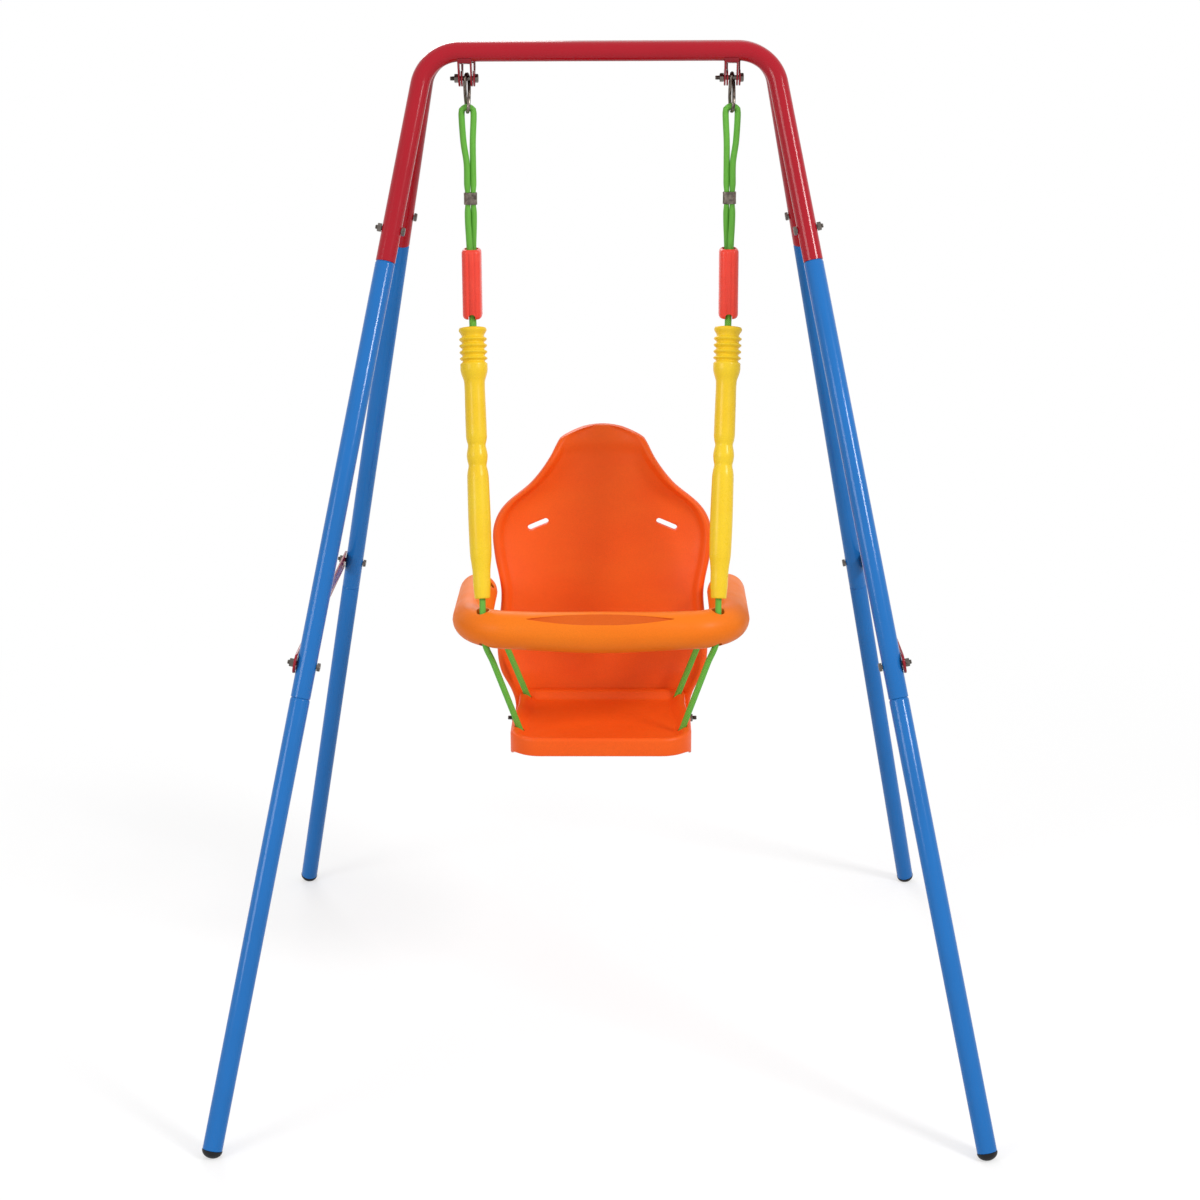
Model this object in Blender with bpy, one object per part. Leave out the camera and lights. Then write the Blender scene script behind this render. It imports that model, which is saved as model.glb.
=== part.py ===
"""Baby swing set: a folding A-frame of bent tube that carries a high-backed toddler seat on two ropes.

Metres, +Z up, -Y to the front, +X to the right. The origin is on the floor under the middle of the bars.
Front and rear frame are the same part, the rear one turned by 180 degrees about Z.
"""

import math

import bmesh
import bpy
from mathutils import Vector

# Clearances
GAP = 0.0003                 # between pieces that touch
ROPE_CLEARANCE = 0.0036      # round a rope in the guard, which slides on it
SEAT_CLEARANCE = 0.0009      # round a rope in the seat
HANDLE_CLEARANCE = 0.0008    # round a rope in a handle's ends

# Frame tubes
TUBE_D = 0.025
TUBE_WALL = 0.0012
BAR_HEIGHT = 1.292           # centre of the two bars above the floor
BAR_PITCH = 0.0262           # front bar to rear bar
LEAN = math.radians(18.4)    # each U frame from the vertical
SPLAY = math.radians(10.68)  # each leg from the middle line of its own U frame
CORNER_X = 0.215             # where a leg's centre line would meet the bar's
BEND_RADIUS = 0.050
TOP_TUBE_DROP = 0.250        # bar down to the joint of the red tube on the blue one
UPPER_LEG_DROP = 0.512       # that joint down to the joint of the two blue tubes
NECK_LENGTH = 0.065          # swaged neck inside the next tube
SWAGE_LENGTH = 0.0025
BOLT_ABOVE_JOINT = 0.041     # along the leg, from the joint line to the bolt through it

# Foot caps
CAP_RADIUS = 0.0129
CAP_LENGTH = 0.0100
CAP_STEM = 0.018
CAP_CUT = 0.0011             # depth of the flat that the floor leaves on the dome

# Fasteners, one size of metric bolt all over
BOLT_D = 0.006
HEX_FLATS = 0.010
HEAD_HEIGHT = 0.0040
NUT_HEIGHT = 0.0050
THREAD_OUT = 0.0032          # thread that stands out of a nut
LONG_THREAD_OUT = 0.0060     # the same for the hinges and the seat
HOLE_D = 0.0066

# Hinge brackets under the bars
HINGE_DROP = 0.033           # bolt axis under the bars' centres
HANGER_X = 0.166
LUG_PITCH = 0.0154           # the two lugs of one bracket, centre to centre
LUG_THICKNESS = 0.0020
LUG_SIDE_GAP = 0.0012        # front lug to rear lug
LUG_EYE_RADIUS = 0.0100
LUG_HALF_WIDTH = 0.0101      # at the bar
WEB_THICKNESS = 0.0020

# Braces
BRACE_WIDTH = 0.025
BRACE_THICKNESS = 0.003

# Wire links
WIRE_D = 0.0044
LINK_HALF_WIDTH = 0.0070
LINK_CROSSING = 0.0025       # each wire from the middle plane where they cross

# Ropes
ROPE_D = 0.008
LOOP_DROP = 0.035            # hinge bolt to the rope's centre line at the top of its loop
LOOP_HALF = 0.0076
CRIMP_DROP = 0.149           # hinge bolt to the crimp's middle
CRIMP_HEIGHT = 0.016
CRIMP_WALL = 0.0011
PINCH = 0.82                 # rope diameter inside the crimp, as a share
ROPE_X = 0.1643              # both strands below the crimp
KNOT_RADIUS = 0.0092
KNOT_HALF = 0.0088

# Adjuster sleeves
ADJUSTER_DROP = 0.2125       # hinge bolt to the sleeve's upper end
ADJUSTER_LENGTH = 0.089
ADJUSTER_WIDTH = 0.025
ADJUSTER_DEPTH = 0.0360
ADJUSTER_WALL = 0.0038
ADJUSTER_CORNER = 0.0070
ADJUSTER_ROUND = 0.0045      # height of its rounded shoulders
GROOVE_DEPTH = 0.0012
NOTCH_WIDTH = 0.0104
NOTCH_HEIGHT = 0.0075
STRAND_SPREAD = 0.0098       # each strand from the middle at the adjuster's lower end
STRAND_OUT = 0.0025          # below that end, where the strands run straight

# Handles, along the front strand: free rope, handle, free rope down to the bend inside the guard
HANDLE_TOP_GAP = 0.0085
HANDLE_LENGTH = 0.348
HANDLE_LOW_GAP = 0.0521
HANDLE_WALL = 0.0020
RIB_COUNT = 4
RIB_START = 0.0065
RIB_PITCH = 0.0083
RIB_RADIUS = 0.0170
RIB_ROOT_RADIUS = 0.0150
COLLAR_RADIUS = 0.0175
GRIP_RADIUS = 0.0134
HANDLE_END_RADIUS = 0.0106

# Grip outline below the collar: share of the handle's length and of the grip's radius
GRIP_OUTLINE = (
    (0.405, 1.00),
    (0.447, 0.92),
    (0.486, 1.00),
    (0.522, 0.97),
    (0.581, 1.06),
    (0.708, 1.09),
    (0.789, 1.06),
    (0.867, 0.94),
    (0.954, 0.82),
)

# Guard hoop
GUARD_HALF_X = 0.168         # centre line of each arm
GUARD_REAR_Y = 0.067         # centre of an arm's round end
GUARD_CORNER_RADIUS = 0.058
GUARD_FRONT_Y = -0.1205      # centre line where the corners end
GUARD_BOW = 0.0100
GUARD_ARM_HALF_WIDTH = 0.0255
GUARD_ARM_HALF_HEIGHT = 0.0245
GUARD_BAR_HALF_WIDTH = 0.0235
GUARD_BAR_HALF_HEIGHT = 0.0268
GUARD_ENTRY_DROP = 0.012     # where the strands bend inside it, below its middle
GUARD_ENTRY_FRONT = (GUARD_HALF_X - 0.0185, GUARD_FRONT_Y)
GUARD_ENTRY_REAR = (GUARD_HALF_X - 0.0150, GUARD_REAR_Y - 0.0210)
RECESS_HALF_LENGTH = 0.094
RECESS_HALF_WIDTH = 0.0085
RECESS_DEPTH = 0.0013
RECESS_TURN = math.radians(36.0)        # from the top of the bar towards the front

# Seat pan
SEAT_BELOW_GUARD = 0.1355    # hoop's middle down to the seat's rim
SEAT_DISH = 0.010
SEAT_LIP_HEIGHT = 0.0235
SEAT_SKIRT_HEIGHT = 0.0405
SEAT_FRONT_Y = -0.155
SEAT_REAR_Y = 0.060
SEAT_INSIDE_GUARD = 0.0505   # centre line of a guard arm in to the seat's side
SEAT_NARROWING = 0.0050      # each side, from front to rear
SEAT_TAPER_Y = -0.060        # where it starts to narrow
SEAT_TAPER_LENGTH = 0.060
SEAT_CORNER = 0.040
SEAT_REAR_CORNER = 0.018
SEAT_LIP_Y = 0.012           # from the front edge, where the skirt starts to deepen
SEAT_LIP_RUN = 0.060
SEAT_WALL = 0.0035
SEAT_RIM = 0.012
SEAT_HALF_WIDTH = GUARD_HALF_X - SEAT_INSIDE_GUARD
SEAT_REAR_HALF_WIDTH = SEAT_HALF_WIDTH - SEAT_NARROWING
SEAT_HOLE_FRONT = (SEAT_HALF_WIDTH - 0.0135, -0.100)
SEAT_HOLE_REAR = (SEAT_REAR_HALF_WIDTH - 0.0130, 0.038)

# Backrest
BACK_THICKNESS = 0.016       # round the rim
BACK_PANEL = 0.0095          # inside the rim
BACK_RIM = 0.016
BACK_ROLL = 0.0045           # how far the rim is rolled forward
BACK_TOP_RIM = 0.905         # share of the height where the upper rim starts
BACK_BELOW_SEAT = 0.0385     # the seat's rim down to the backrest's bottom edge
BACK_FOOT_Y = 0.0655         # front face at the bottom
BACK_LEAN = math.radians(12.0)
BACK_WRAP = 0.028            # how far the sides come forward
BACK_WRAP_RISE = 0.060       # height over which they start to
SLOT_X = SEAT_REAR_HALF_WIDTH - 0.0245
SLOT_RISE = 0.257            # above the backrest's bottom edge
SLOT_WIDTH = 0.030
SLOT_HEIGHT = 0.008
SLOT_SLANT = math.radians(20.0)
EAR_THICKNESS = 0.0045
EAR_RADIUS = 0.0122
EAR_ROOT_RISE = 0.026
SEAT_BOLT_Y = 0.020
SEAT_BOLT_DROP = 0.029       # below the seat's rim

# Backrest outline: height above its bottom edge, and how much wider each side is than the seat's rear
BACK_OUTLINE = (
    (0.000, 0.0065),
    (0.030, 0.0105),
    (0.070, 0.0275),
    (0.105, 0.0310),
    (0.170, 0.0255),
    (0.225, 0.0350),
    (0.258, 0.0355),
    (0.285, 0.0215),
    (0.315, -0.0145),
    (0.345, -0.0385),
    (0.372, -0.0545),
    (0.388, -0.0785),
)

# Facets
TUBE_SIDES = 12
BEND_STEPS = 6
BOLT_SIDES = 12
GUARD_SIDES = 16
RECESS_STEPS = 8
ROPE_STEP = 0.024
SHARP_ANGLE = math.radians(38.0)

LEG_DY = math.tan(LEAN)
LEG_DX = math.tan(SPLAY) / math.cos(LEAN)
TUBE_R = TUBE_D / 2
BORE_R = TUBE_R - TUBE_WALL
NECK_R = BORE_R - GAP
ROPE_R = ROPE_D / 2
BOLT_R = BOLT_D / 2
TOP_JOINT_Z = BAR_HEIGHT - TOP_TUBE_DROP
LOW_JOINT_Z = TOP_JOINT_Z - UPPER_LEG_DROP
HINGE_Z = BAR_HEIGHT - HINGE_DROP
HINGE = Vector((0.0, 0.0, HINGE_Z))
CRIMP_Z = HINGE_Z - CRIMP_DROP
ADJUSTER_TOP_Z = HINGE_Z - ADJUSTER_DROP
ADJUSTER_BOTTOM_Z = ADJUSTER_TOP_Z - ADJUSTER_LENGTH
STRAND_TOP_Z = ADJUSTER_BOTTOM_Z - STRAND_OUT
STRAND_LENGTH = HANDLE_TOP_GAP + HANDLE_LENGTH + HANDLE_LOW_GAP
STRAND_DROP = math.sqrt(STRAND_LENGTH ** 2 - (ROPE_X - GUARD_ENTRY_FRONT[0]) ** 2
                        - (GUARD_ENTRY_FRONT[1] + STRAND_SPREAD) ** 2)
GUARD_Z = STRAND_TOP_Z - STRAND_DROP + GUARD_ENTRY_DROP
SEAT_TOP_Z = GUARD_Z - SEAT_BELOW_GUARD
SEAT_BOLT_Z = SEAT_TOP_Z - SEAT_BOLT_DROP
BACK_BOTTOM_Z = SEAT_TOP_Z - BACK_BELOW_SEAT
UPRIGHT = Vector((0.0, 0.0, 1.0))


# Materials

def material(name, colour, roughness, metallic=0.0):
    """A Principled material, made once per name."""
    found = bpy.data.materials.get(name)
    if found:
        return found
    made = bpy.data.materials.new(name)
    made.use_nodes = True
    shader = made.node_tree.nodes["Principled BSDF"]
    shader.inputs["Base Color"].default_value = (*colour, 1.0)
    shader.inputs["Roughness"].default_value = roughness
    shader.inputs["Metallic"].default_value = metallic
    made.diffuse_color = (*colour, 1.0)
    return made


def red_paint():
    return material("red_paint", (0.45, 0.012, 0.025), 0.25)


def blue_paint():
    return material("blue_paint", (0.012, 0.16, 0.52), 0.25)


def zinc():
    return material("zinc_steel", (0.11, 0.10, 0.09), 0.38, 1.0)


def dark_steel():
    return material("dark_steel", (0.30, 0.27, 0.24), 0.38, 1.0)


def black_plastic():
    return material("black_plastic", (0.012, 0.012, 0.013), 0.5)


def orange_plastic():
    return material("orange_plastic", (0.95, 0.20, 0.025), 0.4)


def yellow_plastic():
    return material("yellow_plastic", (0.95, 0.62, 0.03), 0.4)


def red_plastic():
    return material("red_plastic", (0.90, 0.06, 0.04), 0.35)


def green_rope():
    return material("green_rope", (0.13, 0.42, 0.05), 0.7)


# Mesh helpers

def finish(name, bm, paint):
    """Turns a bmesh into a node of the model, smooth where it is round."""
    bmesh.ops.recalc_face_normals(bm, faces=bm.faces)
    mesh = bpy.data.meshes.new(name)
    bm.to_mesh(mesh)
    bm.free()
    node = bpy.data.objects.new(name, mesh)
    bpy.context.scene.collection.objects.link(node)
    mesh.materials.append(paint)
    shade(mesh)
    return node


def shade(mesh):
    mesh.shade_smooth()
    mesh.set_sharp_from_angle(angle=SHARP_ANGLE)


def boolean(node, tool_bm, operation="DIFFERENCE"):
    """Cuts or joins a bmesh tool, then leaves the result as the node's own mesh."""
    bmesh.ops.recalc_face_normals(tool_bm, faces=tool_bm.faces)
    mesh = bpy.data.meshes.new("tool")
    tool_bm.to_mesh(mesh)
    tool_bm.free()
    tool = bpy.data.objects.new("tool", mesh)
    bpy.context.scene.collection.objects.link(tool)
    modifier = node.modifiers.new("boolean", "BOOLEAN")
    modifier.operation = operation
    modifier.solver = "EXACT"
    modifier.object = tool
    graph = bpy.context.evaluated_depsgraph_get()
    result = bpy.data.meshes.new_from_object(node.evaluated_get(graph))
    node.modifiers.clear()
    node.data = result
    bpy.data.objects.remove(tool)
    shade(result)


def circle(centre, u, v, radius, sides, radius_v=None):
    """Points of a circle, or of an ellipse, in the plane of u and v."""
    other = radius if radius_v is None else radius_v
    points = []
    for step in range(sides):
        angle = 2 * math.pi * step / sides
        points.append(centre + u * (radius * math.cos(angle)) + v * (other * math.sin(angle)))
    return points


def skin(bm, rings, closed=False):
    """Joins rings of equal length with quads. Closed joins the last to the first, else the ends are filled."""
    made = [[bm.verts.new(point) for point in ring] for ring in rings]
    pairs = list(zip(made, made[1:]))
    if closed:
        pairs.append((made[-1], made[0]))
    for low, high in pairs:
        count = len(low)
        for index in range(count):
            after = (index + 1) % count
            bm.faces.new((low[index], low[after], high[after], high[index]))
    if not closed:
        bm.faces.new(made[0])
        bm.faces.new(made[-1])
    return made


def turned(bm, base, axis, profile, sides, closed=False):
    """A body of revolution: profile holds (distance along the axis, radius)."""
    u = axis.orthogonal().normalized()
    v = axis.cross(u)
    skin(bm, [circle(base + axis * along, u, v, radius, sides) for along, radius in profile], closed)


def prism(bm, outline, offset, depth):
    """Extrudes an outline of 3-D points by a vector, centred on an offset along it."""
    near = [point + offset - depth / 2 for point in outline]
    far = [point + offset + depth / 2 for point in outline]
    skin(bm, [near, far])


def drill(node, centre, axis, radius, length, sides=BOLT_SIDES):
    """A round hole through a node, centred on a point."""
    tool = bmesh.new()
    turned(tool, centre - axis * (length / 2), axis, ((0.0, radius), (length, radius)), sides)
    boolean(node, tool)


def tube_between(bm, points, radii, sides):
    """A solid tube along 3-D points, each with its own radius, with mitred rings and filled ends."""
    rings = []
    side = None
    for index, point in enumerate(points):
        before = points[max(index - 1, 0)]
        after = points[min(index + 1, len(points) - 1)]
        along = (after - before).normalized()
        if side is None:
            side = along.orthogonal().normalized()
        side = (side - along * side.dot(along)).normalized()
        rings.append(circle(point, side, along.cross(side), radii[index], sides))
    skin(bm, rings)


def catmull_rom(p0, p1, p2, p3, t):
    return ((2 * p1) + (p2 - p0) * t + (2 * p0 - 5 * p1 + 4 * p2 - p3) * t * t
            + (3 * p1 - p0 - 3 * p2 + p3) * t * t * t) / 2


# Frame geometry

def leg_point(sx, sy, z):
    """A point on a leg's centre line at a height. sx is -1 left or +1 right, sy is -1 front or +1 rear."""
    fall = BAR_HEIGHT - z
    return Vector((sx * (CORNER_X + fall * LEG_DX), sy * (BAR_PITCH / 2 + fall * LEG_DY), z))


def leg_up(sx, sy):
    """Unit vector up along a leg."""
    return (leg_point(sx, sy, 1.0) - leg_point(sx, sy, 0.0)).normalized()


def plane_normal(sy):
    """Unit normal of a U frame's plane."""
    return Vector((0.0, sy * math.cos(LEAN), math.sin(LEAN)))


def bolt_axis(sx):
    """Outward bolt direction on one side, square to both its front and its rear leg."""
    return Vector((sx, 0.0, LEG_DX)).normalized()


def joint_bolt(sx, sy, joint_z):
    """Where a joint's bolt crosses the leg's centre line."""
    return leg_point(sx, sy, joint_z) + leg_up(sx, sy) * BOLT_ABOVE_JOINT


def tube_ring(centre, along, sy, radius):
    """A ring of a frame tube, turned the same way along the whole U so that necks and bores line up."""
    normal = plane_normal(sy)
    return circle(centre, normal, along.cross(normal), radius, TUBE_SIDES)


def bend_stations(sy):
    """Centre and direction along the top tube, from its left end over the bar to its right end."""
    turn = math.pi / 2 - SPLAY
    reach = BEND_RADIUS * math.tan(turn / 2)
    down = Vector((0.0, sy * math.sin(LEAN), -math.cos(LEAN)))
    middle = Vector((0.0, sy * BAR_PITCH / 2, BAR_HEIGHT))
    right = []
    for step in range(BEND_STEPS + 1):
        angle = turn * step / BEND_STEPS
        sideways = CORNER_X - reach + BEND_RADIUS * math.sin(angle)
        drop = BEND_RADIUS * (1 - math.cos(angle))
        along = Vector((math.cos(angle), 0, 0)) + down * math.sin(angle)
        right.append((middle + Vector((sideways, 0, 0)) + down * drop, along))
    right.append((leg_point(1, sy, TOP_JOINT_Z), -leg_up(1, sy)))
    left = []
    for centre, along in reversed(right):
        left.append((Vector((-centre.x, centre.y, centre.z)), Vector((along.x, -along.y, -along.z))))
    return left + right


def top_tube(name, sy):
    stations = bend_stations(sy)
    outer = [tube_ring(centre, along, sy, TUBE_R) for centre, along in stations]
    inner = [tube_ring(centre, along, sy, BORE_R) for centre, along in stations]
    bm = bmesh.new()
    skin(bm, outer + inner[::-1], closed=True)
    node = finish(name, bm, red_paint())
    for sx in (-1, 1):
        drill(node, joint_bolt(sx, sy, TOP_JOINT_Z), bolt_axis(sx), HOLE_D / 2, TUBE_D * 2)
    return node


def leg_tube(name, sx, sy, joint_z, end, bolts):
    """A straight leg tube: a swaged neck above its joint line, a plain tube below, bored right through."""
    up = leg_up(sx, sy)
    joint = leg_point(sx, sy, joint_z)
    tip = joint + up * NECK_LENGTH
    neck_end = joint - up * GAP
    body_start = neck_end - up * SWAGE_LENGTH
    bore_start = body_start - up * SWAGE_LENGTH
    inner = NECK_R - TUBE_WALL
    outline = (
        (tip, NECK_R), (neck_end, NECK_R), (body_start, TUBE_R), (end, TUBE_R),
        (end, BORE_R), (bore_start, BORE_R), (neck_end - up * SWAGE_LENGTH / 2, inner), (tip, inner),
    )
    bm = bmesh.new()
    skin(bm, [tube_ring(centre, up, sy, radius) for centre, radius in outline], closed=True)
    node = finish(name, bm, blue_paint())
    for centre in bolts:
        drill(node, centre, bolt_axis(sx), HOLE_D / 2, TUBE_D * 2)
    return node


def cap_profile():
    """Distance below the tube's end and radius, down the dome."""
    points = []
    for angle in (0.0, 25.0, 50.0, 72.0):
        turn = math.radians(angle)
        points.append((CAP_LENGTH * math.sin(turn), CAP_RADIUS * math.cos(turn)))
    return points


def foot_end(sx, sy):
    """The end of a lower leg, at the height that puts the cap's dome through the floor by the cut."""
    tilt = leg_up(sx, sy).z
    side = math.sqrt(1 - tilt * tilt)
    lowest = max(along * tilt + radius * side for along, radius in cap_profile())
    return leg_point(sx, sy, lowest - CAP_CUT)


def foot_cap(name, sx, sy):
    down = -leg_up(sx, sy)
    end = foot_end(sx, sy) + down * GAP
    stem = BORE_R - GAP
    bm = bmesh.new()
    profile = [(-CAP_STEM, stem * 0.9), (-CAP_STEM * 0.8, stem), (0.0, stem)]
    profile += cap_profile()
    rings = [tube_ring(end + down * along, -down, sy, radius) for along, radius in profile]
    skin(bm, rings)
    everything = bm.verts[:] + bm.edges[:] + bm.faces[:]
    cut = bmesh.ops.bisect_plane(bm, geom=everything, plane_co=(0, 0, 0), plane_no=(0, 0, -1), clear_outer=True)
    edges = [item for item in cut["geom_cut"] if isinstance(item, bmesh.types.BMEdge)]
    bmesh.ops.edgeloop_fill(bm, edges=edges)
    return finish(name, bm, black_plastic())


# Fasteners

def hex_ring(centre, u, v, flats):
    """Twelve points of a hexagon: its corners and the middles of its sides."""
    corner = flats / math.sqrt(3)
    points = []
    for step in range(BOLT_SIDES):
        angle = math.pi * step / 6
        radius = corner if step % 2 == 0 else flats / 2
        points.append(centre + u * (radius * math.cos(angle)) + v * (radius * math.sin(angle)))
    return points


def add_bolt(bm, seat, axis, length):
    """A hex bolt: its head's underside at seat, its shank along axis."""
    u = axis.orthogonal().normalized()
    v = axis.cross(u)
    skin(bm, [
        circle(seat - axis * HEAD_HEIGHT, u, v, HEX_FLATS * 0.44, BOLT_SIDES),
        hex_ring(seat - axis * HEAD_HEIGHT * 0.82, u, v, HEX_FLATS),
        hex_ring(seat, u, v, HEX_FLATS),
        circle(seat, u, v, BOLT_R, BOLT_SIDES),
        circle(seat + axis * length, u, v, BOLT_R, BOLT_SIDES),
    ])


def add_nut(bm, seat, axis):
    """A hex nut round the bolt, standing on seat."""
    u = axis.orthogonal().normalized()
    v = axis.cross(u)
    top = seat + axis * NUT_HEIGHT
    skin(bm, [
        hex_ring(seat, u, v, HEX_FLATS),
        hex_ring(top, u, v, HEX_FLATS),
        circle(top, u, v, BOLT_R + GAP, BOLT_SIDES),
        circle(seat, u, v, BOLT_R + GAP, BOLT_SIDES),
    ], closed=True)


def fasten(kind, place, start, axis, grip, out=THREAD_OUT):
    """A bolt and its nut through one grip: KIND_bolt_PLACE and KIND_nut_PLACE."""
    bm = bmesh.new()
    add_bolt(bm, start - axis * GAP, axis, grip + 2 * GAP + NUT_HEIGHT + out)
    finish(kind + "_bolt_" + place, bm, zinc())
    bm = bmesh.new()
    add_nut(bm, start + axis * (grip + GAP), axis)
    finish(kind + "_nut_" + place, bm, zinc())


def fasten_leg(kind, place, sx, sy, joint_z, extra):
    """A bolt across one leg, its head inside the frame and its nut outside."""
    axis = bolt_axis(sx)
    fasten(kind, place, joint_bolt(sx, sy, joint_z) - axis * TUBE_R, axis, TUBE_D + extra)


# Hinge brackets

def lug_outline(sy):
    """A lug seen along the bolt, relative to the bolt's axis: saddle under the bar, then round the eye."""
    bar = Vector((0.0, sy * BAR_PITCH / 2, HINGE_DROP))
    spread = math.asin(LUG_HALF_WIDTH / (TUBE_R + GAP))
    saddle = (TUBE_R + GAP) / math.cos(spread / 6)
    points = []
    for step in range(7):
        angle = -spread + 2 * spread * step / 6
        points.append(bar + Vector((0.0, sy * saddle * math.sin(angle), -saddle * math.cos(angle))))
    inner, outer = points[0], points[-1]
    reach = math.hypot(outer.y, outer.z)
    tangent = math.acos(LUG_EYE_RADIUS / reach)
    start = math.atan2(outer.z, sy * outer.y) - tangent
    stop = math.atan2(math.sqrt(LUG_EYE_RADIUS ** 2 - inner.y ** 2), sy * inner.y) - 2 * math.pi
    for step in range(9):
        angle = start + (stop - start) * step / 8
        points.append(Vector((0.0, sy * LUG_EYE_RADIUS * math.cos(angle), LUG_EYE_RADIUS * math.sin(angle))))
    return points


def web_cutter(sy):
    """The space between the lugs: everything more than the web's thickness below the bar."""
    bar = Vector((0.0, sy * BAR_PITCH / 2, HINGE_DROP))
    radius = TUBE_R + 2 * GAP + WEB_THICKNESS
    points = []
    for step in range(7):
        angle = math.radians(-75.0 + 25.0 * step)
        points.append(bar + Vector((0.0, sy * radius * math.sin(angle), -radius * math.cos(angle))))
    past_eye = -sy * LUG_EYE_RADIUS * 1.2
    points.append(Vector((0.0, points[-1].y, -HINGE_DROP)))
    points.append(Vector((0.0, past_eye, -HINGE_DROP)))
    points.append(Vector((0.0, past_eye, points[0].z)))
    return points


def hinge_bracket(name, sx, sy):
    """A folded clevis. The rear ones sit one lug to the right of the front ones, so the lugs interleave."""
    shift = sy * (LUG_THICKNESS + LUG_SIDE_GAP) / 2
    centre = HINGE + Vector((sx * HANGER_X + shift, 0.0, 0.0))
    bm = bmesh.new()
    prism(bm, lug_outline(sy), centre, Vector((LUG_PITCH + LUG_THICKNESS, 0, 0)))
    node = finish(name, bm, red_paint())
    space = bmesh.new()
    prism(space, web_cutter(sy), centre, Vector((LUG_PITCH - LUG_THICKNESS, 0, 0)))
    boolean(node, space)
    drill(node, centre, Vector((1, 0, 0)), HOLE_D / 2, LUG_PITCH * 2)
    return node


def fasten_hinge(place, sx):
    """A bolt across all four lugs of one hanger, its head to the right and its nut to the left."""
    half = (LUG_PITCH + 2 * LUG_THICKNESS + LUG_SIDE_GAP) / 2
    start = HINGE + Vector((sx * HANGER_X + half, 0, 0))
    fasten("hinge", place, start, Vector((-1, 0, 0)), 2 * half, LONG_THREAD_OUT)


# Braces

def brace_slot_direction():
    """Which way the front bolt leaves the hook as the rear frame starts to fold and the brace lifts."""
    pivot = joint_bolt(1, 1, LOW_JOINT_Z)
    span = 2 * pivot.y
    lift = 1 + brace_turn() / (2 * LEAN)
    advance = HINGE_Z - pivot.z
    rise = span * lift - pivot.y
    return Vector((0.0, advance, -rise)).normalized()


def brace_turn():
    """Angle between a brace and the upper part of the rear leg, which it folds against."""
    up = leg_up(1, 1)
    return math.acos(-up.y)


def brace(name, sx):
    """A flat bar outside both legs: a round hole on the rear bolt, a slanted open hook on the front bolt."""
    axis = bolt_axis(sx)
    rise = Vector((-sx * axis.z, 0, sx * axis.x)).normalized()
    middle = axis * (TUBE_R + GAP + BRACE_THICKNESS / 2)
    front = joint_bolt(sx, -1, LOW_JOINT_Z) + middle
    rear = joint_bolt(sx, 1, LOW_JOINT_Z) + middle
    back = Vector((0, 1, 0))
    half = BRACE_WIDTH / 2
    outline = []
    for centre, facing in ((front, -1), (rear, 1)):
        for step in range(7):
            angle = math.radians(-90.0 + 30.0 * step)
            outline.append(centre + back * (facing * half * math.cos(angle)) + rise * (facing * half * math.sin(angle)))
    bm = bmesh.new()
    prism(bm, outline, Vector((0, 0, 0)), axis * BRACE_THICKNESS)
    node = finish(name, bm, red_paint())
    drill(node, rear, axis, HOLE_D / 2, TUBE_D)
    way = brace_slot_direction()
    open_way = back * way.y + rise * way.z
    across = axis.cross(open_way)
    slot = []
    for step in range(7):
        angle = math.radians(90.0 + 30.0 * step)
        slot.append(front + open_way * (HOLE_D / 2 * math.cos(angle)) + across * (HOLE_D / 2 * math.sin(angle)))
    slot.append(front + open_way * BRACE_WIDTH - across * HOLE_D / 2)
    slot.append(front + open_way * BRACE_WIDTH + across * HOLE_D / 2)
    cutter = bmesh.new()
    prism(cutter, slot, Vector((0, 0, 0)), axis * TUBE_D)
    boolean(node, cutter)
    return node


# Ropes and what hangs on them

def link(name, sx):
    """A wire bent to a figure eight: the upper eye on the hinge bolt, the lower eye round the rope."""
    wire = WIRE_D / 2
    top = BOLT_R + GAP + wire
    bottom = -(LOOP_DROP + ROPE_R + GAP + wire)
    half = (top - bottom) / 2
    count = 30
    points = []
    for step in range(count):
        t = 2 * math.pi * step / count
        points.append(Vector((
            LINK_CROSSING * math.sin(t),
            LINK_HALF_WIDTH * math.sin(2 * t),
            (top + bottom) / 2 + half * math.cos(t),
        )))
    rings = []
    sides = 8
    for index, point in enumerate(points):
        along = (points[(index + 1) % count] - points[index - 1]).normalized()
        u = Vector((1, 0, 0))
        u = (u - along * u.dot(along)).normalized()
        rings.append(circle(point + HINGE + Vector((sx * HANGER_X, 0, 0)), u, along.cross(u), wire, sides))
    bm = bmesh.new()
    skin(bm, rings, closed=True)
    return finish(name, bm, dark_steel())


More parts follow.
